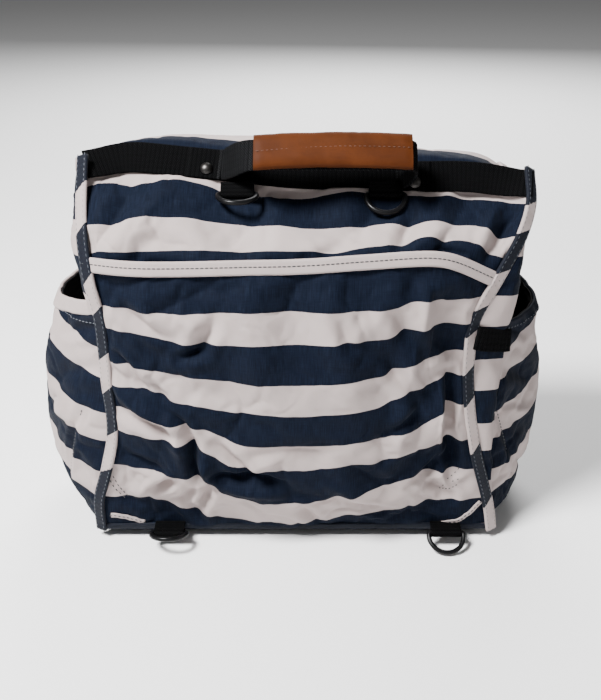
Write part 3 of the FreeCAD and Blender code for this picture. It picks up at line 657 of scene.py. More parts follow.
def board():
    """Grey stiffening board."""
    shader = Shader("board")
    place = shader.world_place()
    colour = shader.mix(shader.noise(place, 500.0, 3.0), (0.03, 0.03, 0.03), (0.06, 0.06, 0.058))
    return shader.finish(Base_Color=colour, Roughness=0.9)


MATERIALS = {
    "striped_canvas": striped_canvas(),
    "bias_binding": bias_binding(),
    "dark_lining": dark_lining(),
    # The light colour of each webbing is the painted glint on its rib tops.
    "black_webbing": black_webbing("black_webbing", (0.0004, 0.0004, 0.0005),
                                   (0.0060, 0.0062, 0.0066), 0.75),
    # handle_webbing is a lit copy of black_webbing: painted lighter because the handle catches more light,
    # not a different webbing.
    "handle_webbing": black_webbing("handle_webbing", (0.0014, 0.0014, 0.0016),
                                    (0.0150, 0.0155, 0.0165), 0.6),
    "tan_leather": tan_leather(),
    "raw_leather": raw_leather(),
    "thread_on_cloth": thread("thread_on_cloth", (0.04, 0.045, 0.06), (0.09, 0.10, 0.12)),
    "thread_dark": thread("thread_dark", (0.003, 0.0035, 0.005), (0.010, 0.012, 0.016)),
    "thread_tan": thread("thread_tan", (0.050, 0.015, 0.004), (0.085, 0.026, 0.008)),
    "ring_metal": metal("ring_metal", (0.004, 0.004, 0.0045), 0.24, 0.12, 0.0),
    "gunmetal": metal("gunmetal", (0.055, 0.052, 0.05), 0.3, 0.2),
    "snap_metal": metal("snap_metal", (0.42, 0.41, 0.39), 0.26, 0.15),
    "board": board(),
}

# ---------------------------------------------------------------- stripes

NAVY_STRIPE = 30.0
WHITE_STRIPE = 25.5
STRIPE_PAIR = NAVY_STRIPE + WHITE_STRIPE
FIRST_NAVY = 19.0 + NAVY_STRIPE
ALL_NAVY, ALL_WHITE = 0.5, 1.5


def stripe_phase(distance):
    """Turn a distance in mm into a stripe number: navy from an even number to the next."""
    count = np.floor(distance / STRIPE_PAIR)
    rest = distance - count * STRIPE_PAIR
    inside = np.where(rest < NAVY_STRIPE, rest / NAVY_STRIPE, 1 + (rest - NAVY_STRIPE) / WHITE_STRIPE)
    return 2 * count + inside


def one_colour(phase):
    """A stripe rule for a tape that is all navy or all white."""
    return lambda along, across: np.full(along.shape, phase)


def bias_phase(along, across):
    """Stripes that cross a tape diagonally, as on cloth cut on the bias."""
    return stripe_phase(0.93 * along + 0.8 * across)


# Heights where the slip pocket changes colour at its middle, from the base up.
POCKET_STRIPES = [-9.0, 19.0, 48.0, 82.0, 106.0, 135.0, 161.0, 193.0, 218.0, 247.0, 275.0]


def pocket_phase(height):
    """Stripe number of the slip pocket at a height."""
    return np.interp(height, POCKET_STRIPES, np.arange(len(POCKET_STRIPES)))


def table(places, *rows):
    """Values read off straight lines between rows of (place, value)."""
    known = np.array(rows, float)
    return np.interp(places, known[:, 0], known[:, 1])


# ---------------------------------------------------------------- seams

BACK_LEFT_SEAM = [(-169, -74, 8), (-168, -76, 38), (-158, -77, 72), (-151, -77, 106), (-151.5, -77, 152),
                  (-152, -77, 203), (-157, -77, 236), (-161, -68, 262), (-163, -50, 289), (-163.5, -28, 317)]
BACK_RIGHT_SEAM = [(162, -74, 8), (156, -76, 38), (142, -77, 87), (133, -77, 134), (130, -77, 170),
                   (132, -77, 202), (146, -77, 236), (163, -66, 266), (172, -48, 287), (174, -25, 306)]
FRONT_LEFT_SEAM = [(-167, 74, 8), (-165, 76, 38), (-160, 77, 87), (-156, 78, 134), (-155, 77, 170),
                   (-157, 74, 205), (-160, 66, 236), (-162, 56, 262), (-162, 45, 279), (-162, 38, 288)]
FRONT_RIGHT_SEAM = [(164, 74, 8), (160, 76, 38), (156, 77, 87), (152, 78, 134), (151, 77, 170),
                    (154, 74, 202), (160, 66, 232), (166, 56, 256), (168, 45, 272), (168, 38, 280)]


# ---------------------------------------------------------------- scene setting

def stage_floor_and_light():
    """Plain pale floor, soft light from above and the camera of the product picture."""
    floor = bpy.data.meshes.new("floor")
    floor.from_pydata([(-4, -3, 0), (4, -3, 0), (4, 5, 0), (-4, 5, 0)], [], [(0, 1, 2, 3)])
    ground = bpy.data.objects.new("floor", floor)
    shader = Shader("floor")
    floor.materials.append(shader.finish(Base_Color=(0.93, 0.93, 0.93), Roughness=0.95))
    bpy.context.scene.collection.objects.link(ground)
    lights = [
        ("light_top", (-0.75, -0.6, 1.45), (0.0, 0.0, 0.15), 0.5, 96.0),
        ("light_front", (0.4, -2.2, 1.5), (0.0, 0.0, 0.15), 1.8, 3.0),
        ("light_right", (1.9, -0.6, 1.1), (0.0, 0.0, 0.15), 1.4, 4.0),
        ("light_back", (0.2, 1.9, 1.4), (0.0, 0.0, 0.15), 1.5, 70.0),
    ]
    for name, place, aim, size, power in lights:
        data = bpy.data.lights.new(name, "AREA")
        data.energy = power
        data.shape = "DISK"
        data.size = size
        lamp = bpy.data.objects.new(name, data)
        lamp.location = place
        lamp.rotation_euler = (Vector(aim) - Vector(place)).to_track_quat("-Z", "Y").to_euler()
        bpy.context.scene.collection.objects.link(lamp)
    world = bpy.data.worlds.new("studio")
    world.use_nodes = True
    world.node_tree.nodes["Background"].inputs[0].default_value = (1.0, 1.0, 1.0, 1.0)
    world.node_tree.nodes["Background"].inputs[1].default_value = 0.10
    bpy.context.scene.world = world
    data = bpy.data.cameras.new("camera")
    data.sensor_width = 36.0
    data.lens = 48.09
    camera = bpy.data.objects.new("camera", data)
    camera.location = (0.0, -0.7251, 0.4944)
    camera.rotation_euler = (math.radians(64.0), 0.0, 0.0)
    bpy.context.scene.collection.objects.link(camera)
    bpy.context.scene.camera = camera


# ---------------------------------------------------------------- back panel and slip pocket

def seam_at(seam, heights):
    """Points of a seam at given heights."""
    line = curve(seam, 2.0)
    order = np.argsort(line[:, 2])
    return np.stack([np.interp(heights, line[order, 2], line[order, axis]) for axis in range(3)], axis=1)


def band_shift(across):
    """How far up its slope the top edge sits, against the CAD, at a distance across the bag."""
    known = np.array([(-168, 2), (-155, 8.5), (-140, 14), (-125, 14.5), (-95, 11), (-71, 8.5), (-45, 5.5),
                      (-20, 2.5), (0, 0.5), (44, -0.5), (88, -2), (125, -1.5), (150, -5), (176, -10)], float)
    line = smooth(known, np.linspace(0, len(known) - 1, 400))
    return np.interp(across, line[:, 0], line[:, 1])


def band_reach(across, share):
    """How far the band and its cloth come forward at the two ends to meet the seams.

    They come forward most at the band's lower edge, where the share of its width is zero."""
    amount = table(across, (-170, 9.0), (-160, 7.0), (-150, 2.5), (-138, 0.0), (146, 0.0), (158, 2.5),
                   (168, 7.0), (178, 9.0))
    fall = np.where(np.asarray(across) < 0, 0.45, 0.9)
    amount = amount * (1 - fall * np.clip(share, 0, 1))
    return np.asarray(amount)[..., None] * np.array([0.0, -1.0, 0.49])


BAND_UP = unit(np.array([0.0, 16.0, 19.0]))
BAND_OUT = unit(np.array([0.0, -19.0, 16.0]))
BAND_LOW = np.array([0.0, -34.0, 292.4])
BAND_WIDTH = 24.8


def upper_panel_surface(rows, columns):
    """The back panel above the slip pocket: rising, then leaning back to its top edge."""
    ribs = [-164, -146, -118, -88, -44, 0, 44, 88, 120, 148, 174]
    low = {
        -164: (-150, -72, 205), -146: (-143, -74, 205), -118: (-118, -76, 205), -88: (-88, -78, 205),
        -44: (-44, -80, 205), 0: (0, -80, 205), 44: (44, -80, 205), 88: (88, -78, 205),
        120: (112, -76, 205), 148: (126, -74, 205), 174: (134, -71, 205)}
    mouth = {
        -164: (-156, -71, 245), -146: (-146, -76, 249), -118: (-118, -80, 250), -88: (-88, -82, 251),
        -44: (-44, -83.5, 252), 0: (0, -83.5, 252), 44: (44, -83, 254), 88: (88, -81, 256),
        120: (116, -79, 254), 148: (140, -75, 246), 174: (150, -71, 240)}
    middle = {
        -164: (-161, -60, 273), -146: (-145, -67, 277), -118: (-118, -67, 277), -88: (-88, -67, 275),
        -44: (-44, -65, 272), 0: (0, -62, 271), 44: (44, -63, 271), 88: (88, -63, 272),
        120: (119, -62, 272), 148: (146, -60, 270), 174: (165, -58, 272)}
    net = []
    for level in (low, mouth, middle):
        net.append([level[rib] for rib in ribs])
    band_rows = []
    for share in (0.0, 0.5, 1.0):
        row = []
        for rib in ribs:
            across = {-164: -163, 174: 173}.get(rib, rib)
            spot = BAND_LOW + BAND_UP * (band_shift(rib) + BAND_WIDTH * share) + band_reach(rib, share)
            row.append((across, spot[1], spot[2]))
        band_rows.append(row)
    net += band_rows
    points = patch(net, rows, columns)
    levels = patch_places(net, rows, columns, 0)
    share = (levels - 3.0) / 2.0
    plane = BAND_LOW + BAND_UP * (band_shift(points[..., 0]) + BAND_WIDTH * share)[..., None]
    plane = plane + band_reach(points[..., 0], share)
    plane[..., 0] = points[..., 0]
    near = np.clip((levels - 2.5) / 0.45, 0, 1)
    near = (near * near * (3 - 2 * near))[..., None]
    return net, points * (1 - near) + plane * near


def make_upper_panel():
    """Back panel cloth above and behind the slip pocket."""
    rows, columns = 110, 220
    net, points = upper_panel_surface(rows, columns)
    levels = patch_places(net, rows, columns, 0)
    across = points[..., 0]
    # Stripe changes counted up from the pocket mouth: navy, white, navy, then white under the band.
    phase = np.interp(levels, [0, 1.0, 1.27, 1.98, 2.76, 3.3, 5.0], [0.05, 0.1, 1.0, 2.0, 3.0, 4.0, 6.0])
    middle_sway = table(across, (-150, 0.0), (-128, -0.05), (-88, -0.28), (-60, -0.34), (-44, -0.34),
                        (-18, -0.1), (0, -0.04), (22, -0.14), (44, -0.26), (80, -0.28), (104, -0.2),
                        (130, -0.1), (140, 0.12), (150, 0.4), (165, 0.5))
    phase = phase + middle_sway * np.clip(1 - np.abs(levels - 1.98) / 0.8, 0, 1)
    low_sway = table(across, (30, 0.0), (60, 0.08), (85, 0.27), (108, 0.42), (125, 0.3), (141, 0.05),
                     (160, 0.0))
    phase = phase - low_sway * np.clip(1 - np.abs(levels - 1.4) / 0.45, 0, 1)
    top_sway = table(across, (-160, 0.0), (-150, 0.04), (-139, 0.12), (-128, 0.2), (-108, 0.11), (-88, -0.05),
                     (-70, 0.02), (-44, 0.15), (0, 0.12), (30, 0.02), (60, 0.0), (88, 0.06), (110, -0.05),
                     (140, -0.08), (170, 0.0))
    phase = phase + top_sway * np.clip(1 - np.abs(levels - 2.76) / 0.6, 0, 1)
    normal = grid_normals(points)
    strokes = [
        ((-152, 262), (-128, 292), 6, -3.4), ((-134, 258), (-100, 292), 7, 2.2),
        ((-60, 262), (-20, 285), 12, -1.8),
        ((-118, 268), (-70, 262), 6, -2.2), ((-30, 280), (40, 272), 8, -1.6),
        ((20, 262), (62, 282), 8, -2.4), ((72, 264), (84, 278), 5, -3.6), ((84, 262), (118, 276), 7, 3.0),
        ((96, 256), (128, 290), 7, -3.4), ((130, 262), (150, 284), 7, 2.6), ((135, 250), (165, 285), 6, -3.0),
        ((100, 286), (160, 288), 6, -1.6), ((104, 262), (116, 256), 4, -3.0)]
    lift = 1.4 * folded(points, [0, 2], strokes) + 0.8 * ripple(points, 60, 5) + 0.9 * crumple(points, 34, 6)
    free = 1 - np.clip((levels - 2.9) / 0.3, 0, 1)[..., None]
    points = points + normal * lift[..., None] * free
    points = points + buckled(points, 0.018, 3.5) * free
    # Shallow hollows behind the two upper rings.
    for ring_across, ring_height, hollow in ((-47.5, 277.0, 5.2), (64.0, 275.0, 3.2)):
        away = np.hypot(points[..., 0] - ring_across, points[..., 2] - ring_height) / 23.0
        points = points - normal * (hollow * np.exp(-away ** 4))[..., None] * free
    panel = cloth("back_panel_cloth", points, phase)
    thicken(panel, CANVAS_THICKNESS)
    dress(panel, "bag", "striped_canvas", "back_panel")


def pocket_lift(across, height):
    """How far the stripes of the slip pocket ride up towards the side seams."""
    left = table(height, (0, 14), (19, 17), (48, 25), (82, 27), (106, 27), (135, 23), (161, 9), (193, 8),
                 (218, -2))
    inner_left = table(height, (0, 2), (19, 4), (48, 20), (82, 21), (106, 23), (135, 6), (161, 4), (193, -1),
                       (218, -3))
    middle_right = table(height, (19, 8), (48, 11), (82, 9), (106, 5), (161, 4), (193, 3), (218, 1))
    inner_right = table(height, (0, 9), (19, 11), (48, 20), (82, 22), (106, 6), (135, 18), (161, 14),
                        (193, 13), (218, 9), (247, 5))
    right = table(height, (19, 23), (48, 22), (82, 23), (106, 15), (135, 27), (161, 22), (193, 12), (218, 5),
                  (247, 8))
    lift = np.zeros(across.shape)
    stops = [(-150, left), (-132, left), (-88, inner_left), (-44, 0.0), (0, 0.0), (56, middle_right),
             (90, inner_right), (112, right), (140, right)]
    for (start, first), (end, second) in zip(stops, stops[1:]):
        inside = (across >= start) & (across <= end)
        share = (across - start) / (end - start)
        share = share * share * (3 - 2 * share)
        lift = np.where(inside, first + (second - first) * share, lift)
    lift = np.where(across < -150, left, lift)
    return np.where(across > 140, right, lift)


POCKET_LEVELS = [12, 35, 65, 110, 160, 215, 252]


def slip_pocket_net():
    """Control net of the slip pocket: levels from the foot to the mouth, ribs from left to right."""
    ribs = [-127, -88, -44, 0, 44, 88, 112]
    depth = [
        [-75, -76, -76, -76, -76, -76, -75],
        [-80, -83, -84, -84, -84, -82, -79],
        [-84, -90, -93, -93, -93, -89, -83],
        [-86, -93, -98, -99, -98, -92, -85],
        [-87, -93, -98, -100, -98, -92, -85],
        [-86, -90, -93, -94, -93, -90, -85],
        [-85, -87, -88, -88.5, -88, -88, -86],
    ]
    tops = [253, 253.5, 255, 256, 259, 262, 259]
    net = []
    for row, height in enumerate(POCKET_LEVELS):
        left = seam_at(BACK_LEFT_SEAM, [height])[0]
        right = seam_at(BACK_RIGHT_SEAM, [height if row < 6 else 240])[0]
        middle = []
        for column, across in enumerate(ribs):
            level = height if row < 6 else tops[column]
            middle.append((across, depth[row][column], level))
        net.append([tuple(left)] + middle + [tuple(right)])
    return net


# Folds of the slip pocket: start and end as (across, height), width, and depth (negative for a valley).
SLIP_POCKET_FOLDS = [
    # the dent on the upper left and the creases that run into it
    ((-66, 206), (-78, 186), 6, -4.5), ((-130, 215), (-96, 193), 5, -3.2), ((-92, 214), (-74, 204), 7, 2.6),
    ((-90, 180), (-70, 187), 4.5, -3.8), ((-118, 232), (-104, 196), 9, 2.0),
    # the fan of creases that leaves the left binding half way up
    ((-140, 178), (-120, 151), 4, -3.6), ((-146, 164), (-104, 142), 4.5, -3.0),
    ((-116, 159), (-105, 145), 3.6, -3.2), ((-146, 148), (-100, 120), 5, 3.2),
    ((-142, 128), (-96, 110), 5, -3.4),
    # the long folds of the lower left
    ((-93, 126), (-80, 90), 5, -5.0), ((-100, 120), (-94, 92), 6, 3.4), ((-87, 97), (-84, 68), 5, -6.0),
    ((-78, 96), (-72, 66), 6, 3.6), ((-66, 106), (-38, 76), 4.5, -4.4), ((-40, 84), (-14, 92), 6, 2.6),
    ((-68, 73), (-16, 69), 6, -4.6), ((-60, 60), (-20, 57), 7, 3.0), ((-88, 55), (-96, 42), 4, -4.0),
    ((-104, 64), (-120, 53), 4.5, -4.8), ((-122, 66), (-134, 46), 6, 3.0), ((-73, 60), (-84, 32), 5, -4.2),
    ((-98, 40), (-84, 20), 5, -3.4), ((-140, 84), (-112, 76), 5, -3.2),
    # the broad folds of the middle
    ((-44, 236), (-30, 160), 13, 2.2), ((-8, 244), (4, 150), 14, -2.2), ((24, 240), (40, 150), 12, 2.4),
    ((28, 214), (36, 190), 5, -2.4), ((2, 40), (12, 22), 5, -3.0), ((-12, 104), (24, 98), 9, -2.4),
    ((38, 88), (70, 60), 8, -3.8), ((30, 66), (56, 44), 7, 3.0), ((44, 46), (66, 34), 6, -3.0),
    # the ridge and valley beside the right binding
    ((96, 246), (82, 154), 8, 3.6), ((82, 154), (76, 88), 8, 3.0), ((70, 214), (96, 176), 6, -3.2),
    ((108, 222), (116, 166), 9, -3.6), ((66, 176), (90, 142), 5, -3.4), ((92, 134), (72, 116), 5, -3.0),
    ((117, 160), (118, 112), 5, -6.0), ((118, 112), (126, 70), 5, -6.0), ((108, 150), (106, 100), 7, 3.6),
    ((118, 84), (98, 66), 5, -3.4), ((104, 60), (126, 44), 5, -3.6), ((112, 78), (120, 52), 4, 2.6)]


def away_from_seams(net, rows, columns, width):
    """Zero at the two side seams of a patch, rising to one over a number of its ribs."""
    ribs = patch_places(net, rows, columns, 1)
    return np.clip(np.minimum(ribs, ribs.max() - ribs) / width, 0, 1)


def make_slip_pocket():
    """The wide flat pocket on the back, its hem and the hem's stitching."""
    net = slip_pocket_net()
    rows, columns = 170, 250
    points = patch(net, rows, columns)
    phase = pocket_phase(points[..., 2] - pocket_lift(points[..., 0], points[..., 2]))
    phase = np.minimum(phase, 8.97)
    normal = grid_normals(points)
    lift = 1.6 * folded(points, [0, 2], SLIP_POCKET_FOLDS) + 1.1 * crumple(points, 38, 14)
    lift += 1.4 * ripple(points, 90, 11) + 0.6 * ripple(points, 34, 12) + 0.2 * ripple(points, 13, 13)
    inside = away_from_seams(net, rows, columns, 0.5)
    inside *= np.clip((6.0 - patch_places(net, rows, columns, 0)) / 0.6, 0.25, 1)
    points = points + normal * (lift * inside)[..., None]
    points = points + buckled(points, 0.018, 4.5)
    pocket = cloth("slip_pocket_cloth", points, phase)
    thicken(pocket, CANVAS_THICKNESS)
    dress(pocket, "bag", "striped_canvas", "back_slip_pocket")
    make_slip_hem(points)
    make_corner_details(points, normal)


def on_surface(points, normal, spots, lift, axes=(0, 2)):
    """A line on a surface through places on two axes, lifted off it, and the surface's facing there."""
    flat = points[..., list(axes)].reshape(-1, 2)
    nearest = [int(np.argmin(((flat - np.array(spot)) ** 2).sum(axis=1))) for spot in spots]
    facing = normal.reshape(-1, 3)[nearest]
    line = points.reshape(-1, 3)[nearest] + facing * lift
    return curve(line, 1.2), facing.mean(axis=0)


def make_corner_details(points, normal):
    """Darts, white seam edges and mending stitches at the two lower corners."""
    stitch_lines = [
        ("dart_left", [(-158, 62), (-154, 52), (-148, 42)], 2.4, 1.6),
        ("dart_left_second", [(-154, 62), (-150, 53), (-144, 43)], 2.4, 1.6),
        ("pucker_right_low", [(116, 50), (122, 53), (128, 56)], 1.5, 1.6),
        ("pucker_right_middle", [(117, 56), (123, 59), (129, 62)], 1.5, 1.8),
        ("pucker_right_high", [(121, 63), (126, 66), (130, 69)], 1.5, 2.0)]
    for name, spots, length, gap in stitch_lines:
        line, facing = on_surface(points, normal, spots, 0.5)
        sew("stitches_" + name, line, facing, "thread_dark", length, gap, 0.4)
    edges = [
        ("left", [(-160, 24), (-152, 23), (-143, 20), (-132, 15)], 5.0),
        ("right", [(120, 15), (132, 20), (143, 28), (150, 38)], 4.0)]
    for name, spots, width in edges:
        line, facing = on_surface(points, normal, spots, 0.7)
        side, outward = line_frame(line, facing)
        line = line + side * (0.35 * ripple(line, 7, 95))[:, None]
        section = flat_section(width, 1.0, 6)
        strip = sweep("seam_edge_" + name, line, side, outward, section, one_colour(ALL_WHITE))
        dress(strip, "bag", "striped_canvas")
        sew("seam_edge_stitches_" + name, line + outward * 0.6, outward, "thread_dark", 2.2, 1.3, 0.42)


def make_slip_hem(points):
    """Folded white hem along the mouth of the slip pocket."""
    edge = averaged(even_loop(points[-1], points.shape[1] // 2), 9)
    down, outward = line_frame(edge, (0.0, -1.0, 0.25))
    down = down * np.where(down[:, 2:] > 0, -1.0, 1.0)
    centre = edge + down * 4.6 + outward * 0.6
    hem = sweep("slip_pocket_hem", centre, down, outward, flat_section(11.5, 3.0), one_colour(ALL_WHITE))
    dress(hem, "bag", "striped_canvas")
    line = centre + outward * 1.5 + down * -0.6
    sew("slip_pocket_hem_stitches", line, outward, "thread_dark", 3.0, 0.5, 0.5)


# ---------------------------------------------------------------- seam bindings

def binding_phase(line, heights, first):
    """Stripes of a binding from the heights of its colour changes, slanting across the tape."""
    travelled = distance_along(line)
    places = np.interp(heights, line[:, 2], travelled)
    places[0], places[-1] = -60.0, travelled[-1] + 60.0
    return lambda along, across: np.interp(along + 0.85 * across, places, np.arange(len(places)) + first)


def make_binding(name, seam, facing, heights, first):
    """Bias tape folded over a seam, with a row of topstitching near each edge."""
    line = curve(seam, 2.5)
    side, outward = line_frame(line, facing)
    wobble = 0.5 * ripple(line, 36, 31)[:, None]
    line = line + outward * (0.8 + wobble * 0.4)
    section = flat_section(10.5, 3.4, 8)
    tape = sweep("binding_" + name, line, side, outward, section, binding_phase(line, heights, first))
    dress(tape, "bag", "bias_binding", "seam_binding_" + name)
    for number, shift in enumerate((-3.4, 3.4)):
        row_name = "binding_%s_stitches_%d" % (name, number)
        sew(row_name, line + side * shift + outward * 1.6, outward, "thread_on_cloth", 2.5, 1.6, 0.32)


def make_bindings():
    """The four upright seams and the two along the foot."""
    left_changes = [8, 70, 104, 144, 173, 212, 237, 271, 297, 313]
    right_changes = [8, 38, 91, 134, 162, 194, 215, 243, 270, 286, 303]
    front_changes = [8, 40, 66, 104, 132, 170, 196, 240, 300]
    make_binding("back_left", BACK_LEFT_SEAM, (-0.45, -0.9, 0.1), left_changes, 0)
    make_binding("back_right", BACK_RIGHT_SEAM, (0.45, -0.9, 0.1), right_changes, 1)
    make_binding("front_left", FRONT_LEFT_SEAM, (-0.6, 0.8, 0.0), front_changes, 0)
    make_binding("front_right", FRONT_RIGHT_SEAM, (0.6, 0.8, 0.0), front_changes, 1)
    section = flat_section(5.5, 2.2, 6)
    for side, depth in (("back", -1), ("front", 1)):
        line = curve([(-167, depth * 75, 11), (-110, depth * 75.5, 12), (0, depth * 76, 12),
                      (110, depth * 75.5, 12), (162, depth * 75, 11)], 3.0)
        across, outward = line_frame(line, (0, depth, 0))
        tape = sweep("foot_binding_" + side, line + outward * 0.6, across, outward, section,
                     one_colour(ALL_NAVY))
        dress(tape, "bag", "bias_binding", "bottom_binding_" + side)


# ---------------------------------------------------------------- gussets, front and base

GUSSET_LEVELS = [8, 40, 90, 140, 190, 230, 260]


def gusset_net(side):
    """Control net of one gusset: levels upwards, ribs from the back seam to the front seam."""
    back = BACK_LEFT_SEAM if side == "left" else BACK_RIGHT_SEAM
    front = FRONT_LEFT_SEAM if side == "left" else FRONT_RIGHT_SEAM
    sign = -1 if side == "left" else 1
    reach = [166, 164, 161, 160, 163, 167, 172] if side == "left" else [163, 161, 158, 156, 158, 163, 168]
    shares = (0.12, 0.35, 0.65, 0.88) if side == "left" else (0.06, 0.35, 0.65, 0.88)
    net = []
    for row, height in enumerate(GUSSET_LEVELS):
        start = seam_at(back, [height])[0]
        end = seam_at(front, [height])[0]
        ribs = [tuple(start)]
        for share in shares:
            depth = start[1] + (end[1] - start[1]) * share
            ribs.append((sign * reach[row], depth, height))
        ribs.append(tuple(end))
        net.append(ribs)
    start, end = curve(back, 2.0)[-1], curve(front, 2.0)[-1]
    for blend in (0.6, 1.0):
        first = np.array(net[6][0]) * (1 - blend) + start * blend
        last = np.array(net[6][-1]) * (1 - blend) + end * blend
        ribs = [tuple(first)]
        for share in shares:
            spot = first + (last - first) * share
            ribs.append((sign * reach[-1], spot[1], spot[2]))
        ribs.append(tuple(last))
        net.append(ribs)
    return net


def make_gussets():
    """The two sides of the bag between the seams."""
    rows, columns = 120, 80
    strokes = [((-60, 60), (-40, 220), 9, -3.0), ((0, 220), (10, 280), 10, -3.0),
               ((40, 60), (50, 240), 10, -2.0), ((-60, 250), (-10, 270), 8, 2.0)]
    for side, sign in (("left", -1), ("right", 1)):
        net = gusset_net(side)
        points = patch(net, rows, columns)
        droop = (np.abs(points[..., 1]) / 76.0) ** 2 * 8.0
        phase = stripe_phase(points[..., 2] - droop - FIRST_NAVY + 2 * STRIPE_PAIR)
        normal = grid_normals(points) * sign
        lift = folded(points, [1, 2], strokes) + 1.0 * ripple(points, 70, 21) + 0.9 * crumple(points, 40, 22)
        inside = away_from_seams(net, rows, columns, 0.8)
        points = points + normal * (lift * inside)[..., None]
        points = points + buckled(points, 0.010, 2.5)
        if side == "left":
            points = points[:, ::-1]
            phase = phase[:, ::-1]
        wall = cloth("gusset_cloth_" + side, points, phase)
        thicken(wall, CANVAS_THICKNESS)
        dress(wall, "bag", "striped_canvas", "gusset_" + side)


def make_front_panel():
    """The front panel, mostly under the flap."""
    levels = [(8, 0), (40, 1.5), (90, 3), (140, 3), (190, 1.5), (230, 0), (258, 0), (270, 0)]
    net = []
    for height, bulge in levels:
        left = seam_at(FRONT_LEFT_SEAM, [height])[0]
        right = seam_at(FRONT_RIGHT_SEAM, [height])[0]
        ribs = [tuple(right)]
        for share in (0.12, 0.33, 0.5, 0.67, 0.88):
            spot = right + (left - right) * share
            ribs.append((spot[0], spot[1] + bulge, spot[2]))
        ribs.append(tuple(left))
        net.append(ribs)
    rows, columns = 110, 180
    points = patch(net, rows, columns)
    phase = stripe_phase(points[..., 2] - FIRST_NAVY + 2 * STRIPE_PAIR)
    lift = np.minimum(0.8 * ripple(points, 80, 41) + 0.3 * ripple(points, 28, 42), 0.4)
    inside = away_from_seams(net, rows, columns, 0.8)
    points = points + grid_normals(points) * (lift * inside)[..., None]
    panel = cloth("front_panel_cloth", points, phase)
    thicken(panel, CANVAS_THICKNESS)
    dress(panel, "bag", "striped_canvas", "front_panel")


def rounded_loop(half_width, half_depth, radius, height, shift):
    """A closed rectangle with round corners at one height."""
    points = []
    corners = [(1, -1, -90), (1, 1, 0), (-1, 1, 90), (-1, -1, 180)]
    for across, deep, start in corners:
        centre_x = across * (half_width - radius) + shift
        centre_y = deep * (half_depth - radius)
        for turn in np.linspace(start, start + 90, 7):
            angle = math.radians(turn)
            points.append((centre_x + radius * math.cos(angle), centre_y + radius * math.sin(angle), height))
    points.append(points[0])
    return respace(np.array(points, float), 3.0)


def make_base():
    """The boxed foot of the bag: navy cloth turned under at a soft edge."""
    # Half width, half depth, corner radius and height of each loop, from the outside in.
    levels = [(166, 75, 10, 14.0), (165, 74, 10, 9.0), (160, 70, 12, 3.5), (152, 62, 12, 0.4),
              (120, 40, 8, 0.0), (60, 20, 5, 0.0), (1, 1, 0.5, 0.0)]
    loops = [even_loop(rounded_loop(*level, -2.0), 260) for level in levels]
    points = smooth(np.array(loops), np.linspace(0, len(loops) - 1, 60))
    points[..., 2] = np.maximum(points[..., 2], 0.0)
    wave = ripple(points, 50, 51) * np.clip(points[..., 2] / 6, 0, 1)
    points[..., 1] += wave * 0.5 * np.sign(points[..., 1])
    rows, columns = points.shape[:2]
    uv = np.stack([points[..., 0].ravel(), (points[..., 1] + points[..., 2]).ravel()], axis=1)
    navy = np.full(rows * columns, ALL_NAVY)
    base = new_object("base_cloth", points.reshape(-1, 3), grid_faces(rows, columns), uv, navy)
    thicken(base, CANVAS_THICKNESS, inward=False)
    dress(base, "bag", "striped_canvas", "base_panel")


def make_inner_lining():
    """One black shell inside the bag, standing for all of its lining cloths."""
    seams = (BACK_LEFT_SEAM, BACK_RIGHT_SEAM, FRONT_RIGHT_SEAM, FRONT_LEFT_SEAM)
    loops = []
    for height in (6, 60, 120, 180, 225, 255):
        corners = np.array([seam_at(seam, [height])[0] for seam in seams])
        loops.append(inner_loop(corners, 7.0 if height > 20 else 12.0, 8.0 if height < 240 else 20.0))
    tops = np.array([curve(seam, 2.0)[-1] for seam in seams])
    loops.append(inner_loop(tops - np.array([0, 0, 14.0]), 7.0, 14.0))
    loops = np.array(loops)
    points = smooth(loops, np.linspace(0, len(loops) - 1, 70))
    middle = points[0].mean(axis=0)
    floor_loops = [middle + (points[0] - middle) * share for share in (0.02, 0.5, 0.97)]
    points = np.concatenate([np.array(floor_loops), points])
    away = unit(points - points.mean(axis=(0, 1)))
    points += (0.8 * ripple(points, 60, 61))[..., None] * away * np.clip(points[..., 2:] / 40 - 0.2, 0, 1)
    rows, columns = points.shape[:2]
    shell = new_object("inner_lining", points.reshape(-1, 3), grid_faces(rows, columns))
    thicken(shell, 0.8)
    dress(shell, "bag", "dark_lining", "lining_back", "lining_front", "lining_left", "lining_right",
          "lining_base")


def inner_loop(corners, inset, depth_inset):
    """A rounded loop inside four seam points."""
    centre = corners.mean(axis=0)
    inner = corners.copy()
    inner[:, 0] -= np.sign(corners[:, 0] - centre[0]) * inset
    inner[:, 1] -= np.sign(corners[:, 1] - centre[1]) * depth_inset
    points = []
    for index in range(4):
        here, before, after = inner[index], inner[index - 1], inner[(index + 1) % 4]
        for share in np.linspace(0, 1, 6):
            start = here + unit(before - here) * 12
            end = here + unit(after - here) * 12
            points.append((1 - share) ** 2 * start + 2 * share * (1 - share) * here + share ** 2 * end)
    points.append(points[0])
    return even_loop(np.array(points), 220)


# ---------------------------------------------------------------- side pockets

